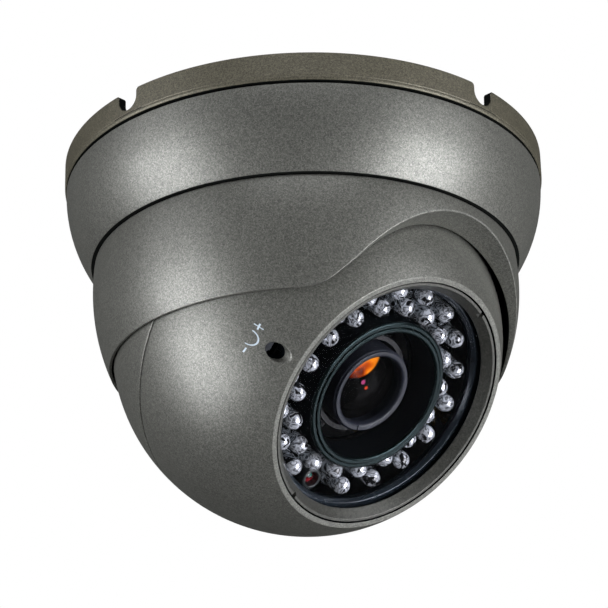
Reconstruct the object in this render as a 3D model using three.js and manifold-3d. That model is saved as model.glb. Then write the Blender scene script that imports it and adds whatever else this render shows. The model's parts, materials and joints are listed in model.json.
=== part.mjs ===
// Ceiling-mounted eyeball dome camera with infrared lamps and a varifocal lens.
//
// Millimetres, +Z up. The origin is the centre of the plane where the base meets the ceiling, so the
// camera hangs below it. The swivel bowl and the ball are stored facing -Y, with the lens aimed
// REST_TILT below the horizon.
//
// The ball's own frame has its origin at the ball's centre: +Z along the lens axis and out of the
// window, +Y towards the ceiling side, and the zoom controls on the -X side.

import * as THREE from "three";
import { mergeVertices } from "three/addons/utils/BufferGeometryUtils.js";
import Module from "manifold-3d";

// ---------------------------------------------------------------- driving dimensions

const GAP = 0.4; // clearance between neighbouring pieces
const FIT = 0.3; // clearance of a piece that its neighbour holds
const TOUCH = 0.1; // clearance of a piece that is screwed down on its neighbour
const OVERRUN = 1; // how far a cutter runs past what it cuts

// Base, fixed to the ceiling
const BASE_RADIUS = 68;
const BASE_HEIGHT = 8.1;
const BASE_TURN = -3.5; // degrees, how far the base's notches stand off the ball's facing direction
const BEAD_HEIGHT = 1.1; // sloped edge round the foot of the base's wall
const BEAD_SLOPE = 0.35;
const WALL = 2.5;
const FLOOR = 2;
const LEDGE_TOP = -BASE_HEIGHT + FLOOR;
const HUB_RADIUS = 40; // raised centre of the base, which the ball turns under
const HUB_TOP = -0.9;
const CABLE_HOLE_RADIUS = 7;
const COLLAR_OUTER = 62.7;
const COLLAR_INNER = 59.6;
const COLLAR_END = -17;
const NOTCH_COUNT = 4;
const NOTCH_WIDTH = 6.6;
const NOTCH_DEPTH = 5.7;
const NOTCH_FLARE = 0.9;
const FIXING_COUNT = 4;
const FIXING_CIRCLE = 51;
const FIXING_HOLE = 2.5;
const FIXING_BOSS = 6;
const GROMMET_BORE = 4.5;
const GROMMET_LIP = 2;

// Trim ring, screwed onto the base's collar
const SHADOW_GAP = 0.75; // open line between the base and the trim ring
const TRIM_TOP = -BASE_HEIGHT - SHADOW_GAP;
const TRIM_RADIUS = 67.55;
const TRIM_CURVE = 39; // radius of the trim ring's bulging outer wall
const TRIM_END = -31.4;
const TRIM_INNER_END = 58;
const TRIM_LEDGE = -24.5;
const TRIM_BORE = 61;

// Swivel bowl, a part of a sphere that carries the ball
const BOWL_RADIUS = 59.75;
const BOWL_CENTRE = -39;
const BOWL_RIM = -62.3;
const BOWL_NECK = 57.5;
const BOWL_FLANGE = 60.5;
const BOWL_FLANGE_TOP = -21.4;
const BOWL_SHELF_TOP = -33;
const BOWL_BORE = 54.2;
const ARCH_RADIUS = 40;
const ARCH_TOP = -35.4;
const ARCH_SPREAD = 54.3; // degrees off the vertical where the arch's round top becomes straight sides
const ARCH_FILLET = 7;
const ARCH_START = 0.8; // share of the way out from the ball's centre to the bowl's face

// Ball
const BALL_RADIUS = 54.4;
const BALL_CLEARANCE = 0.6;
const BALL_CENTRE = -53.4;
const BALL_WALL = 3;
const SEAM = 0.3;
const REST_TILT = 44; // degrees that the lens is aimed below the horizon
const LEAST_TILT = 25;
const BALL_HEADROOM = 49.3; // most that the ball reaches above its centre at any tilt
const BALL_BACK = -40;
const BALL_INNER = BALL_RADIUS - BALL_WALL;
const BALL_CABLE_HOLE = 5;
const BALL_GROMMET_BORE = 3;
const BALL_GROMMET_LIP = 1.6;
const SEAL_GROOVE = 1.6; // depth of the rabbet that holds the seam's seal
const SEAL_WIDTH = 2;

// Tilt pivots, on the ball's X axis
const PIVOT_RADIUS = 2.4;
const PIVOT_END = 57;
const PIVOT_HEAD = 4.5;
const PIVOT_HEAD_FACE = 50.3;
const PIVOT_HEAD_HEIGHT = 2.2;
const PIVOT_SLOT_DEPTH = 1;
const BUSH_OUTER = 3.9;
const BUSH_INNER = 2.7;

// Window, measured along the lens axis from the ball's centre
const RIM_HEIGHT = 39.26;
const RIM_BORE = 36.2;
const RETAINER_RADIUS = 35.8;
const RETAINER_TOP = 39;
const RETAINER_BORE = 33;
const RETAINER_LIP = 0.6;
const GLASS_FRONT = 36;
const GLASS_BACK = 34.8;
const GLASS_RADIUS = 35;
const SEAT_TOP = 33.3;
const SEAT_BOTTOM = 31.8;
const SEAT_BORE = 31.5;
const SPANNER_ANGLE = 22; // degrees from +Y to the first spanner slot
const SPANNER_WIDTH = 1.4;
const SPANNER_DEPTH = 1.2;

// Lamp board
const BOARD_BACK = 22.2;
const BOARD_FRONT = 23.8;
const BOARD_RADIUS = 32.4;
const BOARD_BORE = 18.4;
const LAMP_RADIUS = 2.5;
const LAMP_TIP = 32.5;
const LAMPS_PER_RING = 18;
const INNER_LAMP_CIRCLE = 24.8;
const OUTER_LAMP_CIRCLE = 29.4;
const SHROUD_OUTER = 22;
const SHROUD_INNER = 18.9;
const SHROUD_TOP = 34.65;
const LIGHT_SENSOR_RADIUS = 3.2;
const LIGHT_SENSOR_BORE = 2.1;
const LIGHT_SENSOR_TOP = 29;
const LIGHT_SENSOR_EYE = 27.8;

// Chassis plate and what it carries
const PLATE_BACK = 2;
const PLATE_FRONT = 4;
const PLATE_RADIUS = 46;
const BOSS_CIRCLE = 42.5;
const BOSS_RADIUS = 3.5;
const SENSOR_BOARD_BACK = -15;
const SENSOR_BOARD_HALF = 16;
const MAIN_BOARD_BACK = -28;
const MAIN_BOARD_HALF = 22;
const BOARD_THICKNESS = 1.6;
const STANDOFF_OFFSET = 19;
const STANDOFF_RADIUS = 2.4;
const POST_OFFSET = 31;
const POST_RADIUS = 3;
const LAMP_STANDOFF_CIRCLE = 28;
const BOSS_TOP = 28;
const BOSS_BORE_DEPTH = 12;
const SCREW_HEAD = 2.8;
const SCREW_SHANK = 1.2;
const SCREW_LENGTH = 8;
const SCREW_PILOT = 1.6;
const SCREW_HOLE = 1.9;
const LENS_PASSAGE = 10.5;
const CABLE_PASSAGE = 3;
const CABLE_PASSAGE_OFFSET = 36;
const CABLE_RADIUS = 1.2;
const HOLDER_WIDTH = 22;
const HOLDER_BORE = 9.2;

// Lens
const BARREL_OUTER = 14.5;
const BARREL_INNER = 13.2;
const BARREL_FRONT = 26;
const CELL_OUTER = 12.2;
const CELL_INNER = 10.2;
const CELL_FRONT = 31.4;
const CELL_BACK = 15;
const FRONT_SEAT = 19; // where the focus cell opens out for the front element
const BARREL_FLANGE = 17;
const BARREL_COLLAR = 16.4; // collars that keep the toothed rings in place
const COLLAR_THICKNESS = 1;

// Gear trains: toothed lens ring, idler and screwdriver-turned adjuster in one line
const MODULE = 1;
const RING_TEETH = 36;
const IDLER_TEETH = 18;
const ADJUSTER_TEETH = 11;
const TOOTH_HEIGHT_ABOVE = 0.75 * MODULE;
const TOOTH_DEPTH_BELOW = 1.15 * MODULE;
const GEAR_THICKNESS = 4;
const ZOOM_GEAR_BACK = 6;
const FOCUS_GEAR_BACK = 12;
const RING_BORE = 14.9;
const pitchRadius = (teeth) => (teeth * MODULE) / 2;
const IDLER_OFFSET = pitchRadius(RING_TEETH) + pitchRadius(IDLER_TEETH);
const ADJUSTER_OFFSET = IDLER_OFFSET + pitchRadius(IDLER_TEETH) + pitchRadius(ADJUSTER_TEETH);
const ADJUSTER_HOLE = 2.35;
const ADJUSTER_TOP = 26;
const ADJUSTER_SHAFT = 1.5;
const ADJUSTER_HEAD = 2.1;
const IDLER_PIN = 1.2;
const IDLER_PIN_HEAD = 2.4;

// Facets round a full turn
const FINE = 36;
const MEDIUM = 24;
const COARSE = 16;
const SMALL = 8;

// ---------------------------------------------------------------- materials

const finish = (color, roughness, metalness) =>
  new THREE.MeshStandardMaterial({ color, roughness, metalness });

const gunmetal = finish(0x6a6b65, 0.45, 0.55);
const blackPlastic = finish(0x101112, 0.45, 0);
const rubber = finish(0x0c0c0d, 0.8, 0);
const glass = finish(0xcfdde0, 0.05, 0);
const coatedGlass = finish(0x40241a, 0.05, 0.2);
const steel = finish(0xb8b9ba, 0.3, 1);
const brass = finish(0xb08d4a, 0.35, 1);
const boardGreen = finish(0x12402a, 0.6, 0);
const boardBlack = finish(0x0d0f10, 0.6, 0);
const nylon = finish(0xd8d6cc, 0.5, 0);
const aluminium = finish(0x9a9c9e, 0.4, 0.9);

// ---------------------------------------------------------------- solids

const wasm = await Module();
wasm.setup();

const MERGE_DISTANCE = 1e-4;
const radians = THREE.MathUtils.degToRad;

function signedVolume(position, faces) {
  const [a, b, c] = [new THREE.Vector3(), new THREE.Vector3(), new THREE.Vector3()];
  let total = 0;
  for (let i = 0; i < faces.length; i += 3) {
    a.fromArray(position, 3 * faces[i]);
    b.fromArray(position, 3 * faces[i + 1]);
    c.fromArray(position, 3 * faces[i + 2]);
    total += a.dot(b.cross(c)) / 6;
  }
  return total;
}

// A closed geometry as a solid whose faces point out.
function manifoldOf(geometry) {
  const bare = geometry.index ? geometry.toNonIndexed() : geometry.clone();
  bare.deleteAttribute("normal");
  bare.deleteAttribute("uv");
  const merged = mergeVertices(bare, MERGE_DISTANCE);
  const position = merged.attributes.position.array;
  const corners = merged.index.array;
  const faces = [];
  for (let i = 0; i < corners.length; i += 3) {
    const [a, b, c] = corners.slice(i, i + 3);
    if (a !== b && b !== c && c !== a) faces.push(a, b, c);
  }
  if (signedVolume(position, faces) < 0) faces.reverse();
  const triVerts = new Uint32Array(faces);
  return new wasm.Manifold(new wasm.Mesh({ numProp: 3, vertProperties: position, triVerts }));
}

function geometryOf(body) {
  const mesh = body.getMesh();
  return new THREE.BufferGeometry()
    .setAttribute("position", new THREE.BufferAttribute(mesh.vertProperties, 3))
    .setIndex(new THREE.BufferAttribute(mesh.triVerts, 1));
}

// Joins, cuts or intersects closed geometries, and returns the result as a geometry.
const combine = (operation) => (first, ...others) =>
  geometryOf(others.reduce((body, other) => body[operation](manifoldOf(other)), manifoldOf(first)));

const join = combine("add");
const cut = combine("subtract");
const common = combine("intersect");

function piece(name, geometry, material) {
  const mesh = new THREE.Mesh(geometryOf(manifoldOf(geometry)), material);
  mesh.name = name;
  return mesh;
}

// ---------------------------------------------------------------- outlines

const point = (x, y) => new THREE.Vector2(x, y);

// Points round an arc, with angles in degrees from the +X or +radius direction.
function arc(centreX, centreY, radius, from, to, steps) {
  return Array.from({ length: steps + 1 }, (_, i) => {
    const angle = radians(from + ((to - from) * i) / steps);
    return point(centreX + radius * Math.cos(angle), centreY + radius * Math.sin(angle));
  });
}

// The angle in degrees at which a circle of this radius, centred at height centre, passes height z.
const angleAt = (radius, centre, z) => THREE.MathUtils.radToDeg(Math.asin((z - centre) / radius));

// Turns a profile of [radius, height] pairs and points round the Z axis.
function turned(profile, facets = COARSE) {
  const outline = profile.map((p) => (Array.isArray(p) ? point(...p) : p));
  if (outline[0].x > 0 || outline.at(-1).x > 0) outline.push(outline[0].clone());
  return new THREE.LatheGeometry(outline, facets).rotateX(Math.PI / 2);
}

const ring = (inner, outer, low, high, facets = COARSE) =>
  turned([[inner, low], [outer, low], [outer, high], [inner, high]], facets);

const rod = (radius, low, high, facets = SMALL) =>
  turned([[0, low], [radius, low], [radius, high], [0, high]], facets);

// A shape drawn in the X and Y directions and raised from low to high along Z.
function raised(shape, low, high, curveSegments = 8) {
  const options = { depth: high - low, bevelEnabled: false, curveSegments };
  return new THREE.ExtrudeGeometry(shape, options).translate(0, 0, low);
}

const box = (width, depth, low, high) =>
  new THREE.BoxGeometry(width, depth, high - low).translate(0, 0, (low + high) / 2);

// Angles, in degrees, of things spaced evenly round a circle.
const around = (count, start = 0) => Array.from({ length: count }, (_, i) => start + (360 * i) / count);

// The place at an angle from +Y, turning towards -X, the zoom side.
const placeAt = (radius, angle) => [-radius * Math.sin(radians(angle)), radius * Math.cos(radians(angle))];

const moved = (geometry, [x, y], z = 0) => geometry.clone().translate(x, y, z);
const spun = (geometry, degrees) => geometry.clone().rotateZ(radians(degrees));
const mirrored = (geometry) => geometry.clone().scale(-1, 1, 1);

// Turns what was made along Z so that it lies along X.
const sideways = (geometry) => geometry.clone().rotateY(Math.PI / 2);

// ---------------------------------------------------------------- base

function notch() {
  const half = NOTCH_WIDTH / 2;
  const flare = NOTCH_FLARE;
  const outline = new THREE.Shape()
    .moveTo(-half - flare, 1)
    .lineTo(-half - flare, 0)
    .quadraticCurveTo(-half, 0, -half, -flare)
    .lineTo(-half, half - NOTCH_DEPTH)
    .absarc(0, half - NOTCH_DEPTH, half, Math.PI, 2 * Math.PI, false)
    .lineTo(half, -flare)
    .quadraticCurveTo(half, 0, half + flare, 0)
    .lineTo(half + flare, 1);
  const reach = BASE_RADIUS - WALL - 2;
  return raised(outline, reach, BASE_RADIUS + 2, 5).rotateX(Math.PI / 2);
}

function basePlate() {
  const boss = rod(FIXING_BOSS, LEDGE_TOP - 0.5, 0, COARSE);
  const hole = rod(FIXING_HOLE, -BASE_HEIGHT - OVERRUN, OVERRUN);
  const spots = around(FIXING_COUNT, 45).map((angle) => placeAt(FIXING_CIRCLE, angle));
  const plate = turned(
    [
      [BASE_RADIUS, 0],
      [BASE_RADIUS, -BASE_HEIGHT + BEAD_HEIGHT],
      [BASE_RADIUS - BEAD_SLOPE, -BASE_HEIGHT],
      [COLLAR_OUTER, -BASE_HEIGHT],
      [COLLAR_OUTER, COLLAR_END],
      [COLLAR_INNER, COLLAR_END],
      [COLLAR_INNER, -BASE_HEIGHT],
      [HUB_RADIUS - FLOOR, -BASE_HEIGHT],
      [HUB_RADIUS - FLOOR, HUB_TOP - FLOOR],
      [CABLE_HOLE_RADIUS, HUB_TOP - FLOOR],
      [CABLE_HOLE_RADIUS, HUB_TOP],
      [HUB_RADIUS, HUB_TOP],
      [HUB_RADIUS, LEDGE_TOP],
      [BASE_RADIUS - WALL, LEDGE_TOP],
      [BASE_RADIUS - WALL, 0],
    ],
    FINE,
  );
  const bossed = join(plate, ...spots.map((spot) => moved(boss, spot)));
  const notches = around(NOTCH_COUNT).map((angle) => spun(notch(), angle));
  return cut(bossed, ...spots.map((spot) => moved(hole, spot)), ...notches);
}

const cableGrommet = () =>
  turned([
    [GROMMET_BORE, HUB_TOP - FLOOR],
    [CABLE_HOLE_RADIUS - GAP, HUB_TOP - FLOOR],
    [CABLE_HOLE_RADIUS - GAP, HUB_TOP + FIT],
    [CABLE_HOLE_RADIUS + GROMMET_LIP, HUB_TOP + FIT],
    [CABLE_HOLE_RADIUS + GROMMET_LIP, -TOUCH],
    [GROMMET_BORE, -TOUCH],
  ]);

function trimRing() {
  const end = angleAt(TRIM_CURVE, TRIM_TOP, TRIM_END);
  return turned(
    [
      ...arc(TRIM_RADIUS - TRIM_CURVE, TRIM_TOP, TRIM_CURVE, 0, end, 7),
      [TRIM_INNER_END, TRIM_END],
      [TRIM_INNER_END, TRIM_LEDGE],
      [TRIM_BORE, TRIM_LEDGE],
      [TRIM_BORE, COLLAR_END - GAP],
      [COLLAR_OUTER + GAP, COLLAR_END - GAP],
      [COLLAR_OUTER + GAP, TRIM_TOP],
    ],
    FINE,
  );
}

const swivelSeal = () =>
  ring(BOWL_NECK - FIT, BOWL_FLANGE - FIT, BOWL_FLANGE_TOP + FIT, COLLAR_END - FIT, FINE);

// ---------------------------------------------------------------- swivel bowl

// How far the bowl's outside lies from the axis it turns about. Below the rim it stays the same.
const bowlRadius = (z) => Math.sqrt(BOWL_RADIUS ** 2 - (Math.max(z, BOWL_RIM) - BOWL_CENTRE) ** 2);

// The opening that the lens looks out through: a round-topped arch whose feet flare into the rim.
// It is a funnel that narrows towards the ball's centre.
function archCutter() {
  const centre = ARCH_TOP - ARCH_RADIUS;
  const footAngle = 90 - ARCH_SPREAD;
  const foot = arc(0, centre, ARCH_RADIUS, footAngle, footAngle, 1)[0];
  const run = (foot.y - BOWL_RIM) / Math.tan(radians(ARCH_SPREAD));
  const filletStart = foot.x + run + ARCH_FILLET * Math.tan(radians(ARCH_SPREAD / 2));
  const filletTop = BOWL_RIM + ARCH_FILLET;
  const below = BOWL_RIM - ARCH_FILLET;
  const half = [
    ...arc(filletStart, filletTop, ARCH_FILLET, 270, 270 - ARCH_SPREAD, 5),
    ...arc(0, centre, ARCH_RADIUS, footAngle, 90, 9),
  ];
  const otherHalf = half.map((p) => point(-p.x, p.y)).reverse();
  const outline = [point(filletStart, below), ...half, ...otherHalf.slice(1), point(-filletStart, below)];
  const cutter = raised(new THREE.Shape(outline), 0, BASE_RADIUS).rotateX(Math.PI / 2);
  const corners = cutter.attributes.position;
  for (let i = 0; i < corners.count; i += 1) {
    const [x, y, z] = [corners.getX(i), corners.getY(i), corners.getZ(i)];
    const face = Math.sqrt(bowlRadius(z) ** 2 - x ** 2);
    const reach = y < 0 ? BASE_RADIUS / face : ARCH_START;
    corners.setXYZ(i, x * reach, -face * reach, BALL_CENTRE + (z - BALL_CENTRE) * reach);
  }
  return cutter;
}

function swivelBowl() {
  const shoulder = TRIM_END - GAP;
  const clearance = BALL_RADIUS + BALL_CLEARANCE;
  const outerAngles = [shoulder, BOWL_RIM].map((z) => angleAt(BOWL_RADIUS, BOWL_CENTRE, z));
  const innerAngles = [BOWL_RIM, BOWL_SHELF_TOP].map((z) => angleAt(clearance, BALL_CENTRE, z));
  const shell = turned(
    [
      [BOWL_FLANGE, BOWL_FLANGE_TOP],
      [BOWL_FLANGE, TRIM_LEDGE + GAP],
      [BOWL_NECK, TRIM_LEDGE + GAP],
      [BOWL_NECK, shoulder],
      ...arc(0, BOWL_CENTRE, BOWL_RADIUS, ...outerAngles, 6),
      ...arc(0, BALL_CENTRE, clearance, ...innerAngles, 5),
      [BOWL_BORE, BOWL_SHELF_TOP],
      [BOWL_BORE, BOWL_FLANGE_TOP],
    ],
    FINE,
  );
  const bore = rod(PIVOT_RADIUS + FIT, BALL_INNER, PIVOT_END + FIT);
  const socket = sideways(bore).translate(0, 0, BALL_CENTRE);
  const sockets = [socket, mirrored(socket)];
  return cut(shell, archCutter(), ...sockets);
}

function pivotScrew() {
  const screw = turned([
    [0, PIVOT_HEAD_FACE - PIVOT_HEAD_HEIGHT],
    [PIVOT_HEAD, PIVOT_HEAD_FACE - PIVOT_HEAD_HEIGHT],
    [PIVOT_HEAD, PIVOT_HEAD_FACE],
    [PIVOT_RADIUS, PIVOT_HEAD_FACE],
    [PIVOT_RADIUS, PIVOT_END],
    [0, PIVOT_END],
  ]);
  const top = PIVOT_HEAD_FACE - PIVOT_HEAD_HEIGHT;
  const slot = box(1, 2 * PIVOT_HEAD + OVERRUN, top - OVERRUN, top + PIVOT_SLOT_DEPTH);
  return sideways(cut(screw, slot));
}

const pivotBush = () =>
  sideways(ring(BUSH_INNER, BUSH_OUTER, PIVOT_HEAD_FACE + FIT, BALL_RADIUS - 0.8));

// ---------------------------------------------------------------- ball shells

// What the ball may fill as it tilts under the base, seen from the side: Y across and Z up. The top
// of the back is a flat, a round of this headroom about the tilt axis, and the flat back wall.
function headroomSolid(headroom, back) {
  const flatEnd = LEAST_TILT + 90;
  const roundEnd = THREE.MathUtils.radToDeg(Math.acos(back / headroom));
  const far = 2 * BALL_RADIUS;
  const tangentEnd = headroom + BALL_INNER;
  const tangent = point(Math.sin(radians(LEAST_TILT)), Math.cos(radians(LEAST_TILT)));
  const round = arc(0, 0, headroom, 90 - roundEnd, 90 - flatEnd, 4);
  const corner = round.at(-1).clone().addScaledVector(tangent, tangentEnd);
  const outline = [point(-far, back), ...round, corner, point(-far, corner.y)];
  const side = new THREE.Shape(outline);
  const along = new THREE.Matrix4().makeBasis(
    new THREE.Vector3(0, 1, 0),
    new THREE.Vector3(0, 0, 1),
    new THREE.Vector3(1, 0, 0),
  );
  const options = { depth: 2 * far, bevelEnabled: false };
  return new THREE.ExtrudeGeometry(side, options).translate(0, 0, -far).applyMatrix4(along);
}

// Half-round notches where the pivots pass the seam, and the rabbet that holds the seal.
function seamCutters() {
  const hole = sideways(rod(BUSH_OUTER + FIT, BALL_INNER - 5, BALL_RADIUS + 5, COARSE));
  const half = SEAL_WIDTH / 2 + GAP;
  const rabbet = ring(BALL_INNER - 2, BALL_INNER + SEAL_GROOVE, -half, half, FINE);
  return [hole, mirrored(hole), rabbet];
}

function frontShell() {
  const seam = SEAM / 2;
  const outer = [seam, RIM_HEIGHT].map((z) => angleAt(BALL_RADIUS, 0, z));
  const inner = [SEAT_BOTTOM, seam].map((z) => angleAt(BALL_INNER, 0, z));
  const shell = turned(
    [
      ...arc(0, 0, BALL_RADIUS, ...outer, 8),
      [RIM_BORE, RIM_HEIGHT],
      [RIM_BORE, SEAT_TOP],
      [SEAT_BORE, SEAT_TOP],
      [SEAT_BORE, SEAT_BOTTOM],
      ...arc(0, 0, BALL_INNER, ...inner, 5),
    ],
    FINE,
  );
  const boss = rod(BOSS_RADIUS, PLATE_FRONT + GAP, BOSS_TOP);
  const bore = rod(SCREW_PILOT, PLATE_FRONT - OVERRUN, PLATE_FRONT + BOSS_BORE_DEPTH);
  const spots = around(4, 45).map((angle) => placeAt(BOSS_CIRCLE, angle));
  const driverHole = rod(ADJUSTER_HOLE, ADJUSTER_TOP, BALL_RADIUS, COARSE);
  return cut(
    join(shell, ...spots.map((spot) => moved(boss, spot))),
    ...spots.map((spot) => moved(bore, spot)),
    moved(driverHole, [-ADJUSTER_OFFSET, 0]),
    moved(driverHole, [ADJUSTER_OFFSET, 0]),
    ...seamCutters(),
  );
}

function rearShell() {
  const seam = -SEAM / 2;
  const half = (radius) =>
    turned([[0, seam], ...arc(0, 0, radius, angleAt(radius, 0, seam), -90, 8)], FINE);
  const outside = common(half(BALL_RADIUS), headroomSolid(BALL_HEADROOM, BALL_BACK));
  const inside = common(
    half(BALL_INNER),
    headroomSolid(BALL_HEADROOM - BALL_WALL, BALL_BACK + BALL_WALL),
  );
  const cutThrough = (radius, facets) =>
    rod(radius, BALL_BACK - OVERRUN, BALL_BACK + BALL_WALL + OVERRUN, facets);
  const screwHole = cutThrough(SCREW_HOLE);
  const headRecess = rod(SCREW_HEAD + 0.5, BALL_BACK - OVERRUN, BALL_BACK + BALL_WALL / 2);
  const cableHole = cutThrough(BALL_CABLE_HOLE, COARSE);
  const fixings = [-POST_OFFSET, POST_OFFSET].flatMap((x) => [
    moved(screwHole, [x, 0]),
    moved(headRecess, [x, 0]),
  ]);
  return cut(outside, inside, cableHole, ...fixings, ...seamCutters());
}

// The seal's hoop stops short of each pivot, so it is two half hoops. side is 1 above the pivots
// and -1 below them.
function shellSeal(side) {
  const half = SEAL_WIDTH / 2;
  const hoop = ring(BALL_INNER + FIT, BALL_INNER + SEAL_GROOVE - GAP, -half, half, FINE);
  const pivotRoom = 2 * (BUSH_OUTER + 2 * FIT);
  const otherHalf = box(4 * BALL_RADIUS, 2 * BALL_RADIUS + pivotRoom, -SEAL_WIDTH, SEAL_WIDTH);
  return cut(hoop, moved(otherHalf, [0, -side * BALL_RADIUS]));
}

const ballGrommet = () =>
  turned([
    [BALL_GROMMET_BORE, BALL_BACK - 1],
    [BALL_CABLE_HOLE + BALL_GROMMET_LIP, BALL_BACK - 1],
    [BALL_CABLE_HOLE + BALL_GROMMET_LIP, BALL_BACK - FIT],
    [BALL_CABLE_HOLE - GAP, BALL_BACK - FIT],
    [BALL_CABLE_HOLE - GAP, BALL_BACK + BALL_WALL + FIT],
    [BALL_CABLE_HOLE + BALL_GROMMET_LIP, BALL_BACK + BALL_WALL + FIT],
    [BALL_CABLE_HOLE + BALL_GROMMET_LIP, BALL_BACK + BALL_WALL + 1],
    [BALL_GROMMET_BORE, BALL_BACK + BALL_WALL + 1],
  ]);

// ---------------------------------------------------------------- window

function bezelRing() {
  const hoop = turned(
    [
      [RETAINER_RADIUS, GLASS_FRONT + FIT],
      [RETAINER_RADIUS, RETAINER_TOP],
      [RETAINER_RADIUS - RETAINER_LIP, RETAINER_TOP],
      [RETAINER_BORE, GLASS_FRONT + 2 * FIT],
      [RETAINER_BORE, GLASS_FRONT + FIT],
    ],
    FINE,
  );
  const cutter = box(SPANNER_WIDTH, 4, RETAINER_TOP - SPANNER_DEPTH, RETAINER_TOP + OVERRUN);
  const slot = moved(cutter, [0, RETAINER_RADIUS]);
  const slots = [-SPANNER_ANGLE, 180 - SPANNER_ANGLE].map((angle) => spun(slot, angle));
  return cut(hoop, ...slots);
}

const windowGlass = () => rod(GLASS_RADIUS, GLASS_BACK, GLASS_FRONT, MEDIUM);

const windowGasket = () =>
  ring(SEAT_BORE + FIT, GLASS_RADIUS, SEAT_TOP + TOUCH, GLASS_BACK - TOUCH, MEDIUM);

const lightShroud = () =>
  ring(SHROUD_INNER, SHROUD_OUTER, BOARD_FRONT + TOUCH, SHROUD_TOP, MEDIUM);

// ---------------------------------------------------------------- lamp board

function lamp() {
  const domeBase = LAMP_TIP - LAMP_RADIUS;
  const dome = arc(0, domeBase, LAMP_RADIUS, 0, 90, 2).slice(0, -1);
  const foot = BOARD_FRONT - 0.5;
  return turned([[0, foot], [LAMP_RADIUS, foot], ...dome, [0, LAMP_TIP]], 6);
}

// Two staggered rings of lamps on one board; the light sensor takes the lowest place outside.
function lampBoard() {
  const innerSpots = around(LAMPS_PER_RING, 10).map((angle) => placeAt(INNER_LAMP_CIRCLE, angle));
  const outerSpots = around(LAMPS_PER_RING)
    .filter((angle) => angle !== 180)
    .map((angle) => placeAt(OUTER_LAMP_CIRCLE, angle));
  const board = ring(BOARD_BORE, BOARD_RADIUS, BOARD_BACK, BOARD_FRONT, MEDIUM);
  const spots = [...innerSpots, ...outerSpots];
  return join(board, ...spots.map((spot) => moved(lamp(), spot)));
}

function lightSensor() {
  const body = turned(
    [
      [0, BOARD_FRONT + TOUCH],
      [LIGHT_SENSOR_RADIUS, BOARD_FRONT + TOUCH],
      [LIGHT_SENSOR_RADIUS, LIGHT_SENSOR_TOP],
      [LIGHT_SENSOR_BORE, LIGHT_SENSOR_TOP],
      [LIGHT_SENSOR_BORE, LIGHT_SENSOR_EYE],
      [0, LIGHT_SENSOR_EYE],
    ],
    COARSE,
  );
  return moved(body, placeAt(OUTER_LAMP_CIRCLE, 180));
}

// ---------------------------------------------------------------- chassis and boards

function chassisPlate() {
  const plate = rod(PLATE_RADIUS, PLATE_BACK, PLATE_FRONT, FINE);
  const through = (radius, spot, facets) =>
    moved(rod(radius, PLATE_BACK - OVERRUN, PLATE_FRONT + OVERRUN, facets), spot);
  const bossSpots = around(4, 45).map((angle) => placeAt(BOSS_CIRCLE, angle));
  return cut(
    plate,
    through(LENS_PASSAGE, [0, 0], COARSE),
    ...bossSpots.map((spot) => through(SCREW_HOLE, spot)),
    ...[-1, 1].map((side) => through(ADJUSTER_SHAFT + GAP, [side * ADJUSTER_OFFSET, 0])),
    ...[-1, 1].map((side) => through(IDLER_PIN + FIT, [side * IDLER_OFFSET, 0])),
    through(CABLE_PASSAGE, [0, -CABLE_PASSAGE_OFFSET]),
  );
}

function panScrew(headHeight) {
  const shoulder = -headHeight * 0.4;
  const screw = turned(
    [
      [0, -headHeight],
      [SCREW_HEAD * 0.7, -headHeight],
      [SCREW_HEAD, shoulder],
      [SCREW_HEAD, 0],
      [SCREW_SHANK, 0],
      [SCREW_SHANK, SCREW_LENGTH],
      [0, SCREW_LENGTH],
    ],
    SMALL,
  );
  return cut(screw, rod(SCREW_HEAD * 0.4, -headHeight - OVERRUN, shoulder, 4));
}

const mainBoard = () =>
  join(
    box(2 * MAIN_BOARD_HALF, 2 * MAIN_BOARD_HALF, MAIN_BOARD_BACK, MAIN_BOARD_BACK + BOARD_THICKNESS),
    moved(box(14, 14, MAIN_BOARD_BACK + 0.5, MAIN_BOARD_BACK + 3), [-4, 4]),
    moved(box(8, 8, MAIN_BOARD_BACK + 0.5, MAIN_BOARD_BACK + 2.8), [10, -9]),
    moved(box(12, 5, MAIN_BOARD_BACK - 5, MAIN_BOARD_BACK + 0.5), [0, 14]),
    moved(rod(3, MAIN_BOARD_BACK - 6, MAIN_BOARD_BACK + 0.5), [12, -4]),
  );

const sensorBoard = () =>
  box(
    2 * SENSOR_BOARD_HALF,
    2 * SENSOR_BOARD_HALF,
    SENSOR_BOARD_BACK,
    SENSOR_BOARD_BACK + BOARD_THICKNESS,
  );

const sensorFace = SENSOR_BOARD_BACK + BOARD_THICKNESS;

const lensHolder = () => {
  const body = box(HOLDER_WIDTH, HOLDER_WIDTH, sensorFace + TOUCH, PLATE_BACK - TOUCH);
  return cut(body, rod(HOLDER_BORE, sensorFace - OVERRUN, PLATE_BACK + OVERRUN, COARSE));
};

function lampCable() {
  const start = MAIN_BOARD_BACK + BOARD_THICKNESS + 0.5;
  const stops = [
    [0, -17, start],
    [0, -17.5, start + 4],
    [0, -27, -13],
    [0, -35, -5],
    [0, -CABLE_PASSAGE_OFFSET, PLATE_FRONT - 1],
    [0, -35, 12],
    [0, -29.5, 18],
    [0, -28.5, BOARD_BACK - 0.5],
  ];
  const path = new THREE.CatmullRomCurve3(stops.map((stop) => new THREE.Vector3(...stop)));
  const section = new THREE.Shape().absarc(0, 0, CABLE_RADIUS, 0, 2 * Math.PI);
  const options = { extrudePath: path, steps: 16, curveSegments: 4 };
  return new THREE.ExtrudeGeometry(section, options);
}

// ---------------------------------------------------------------- lens

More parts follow.
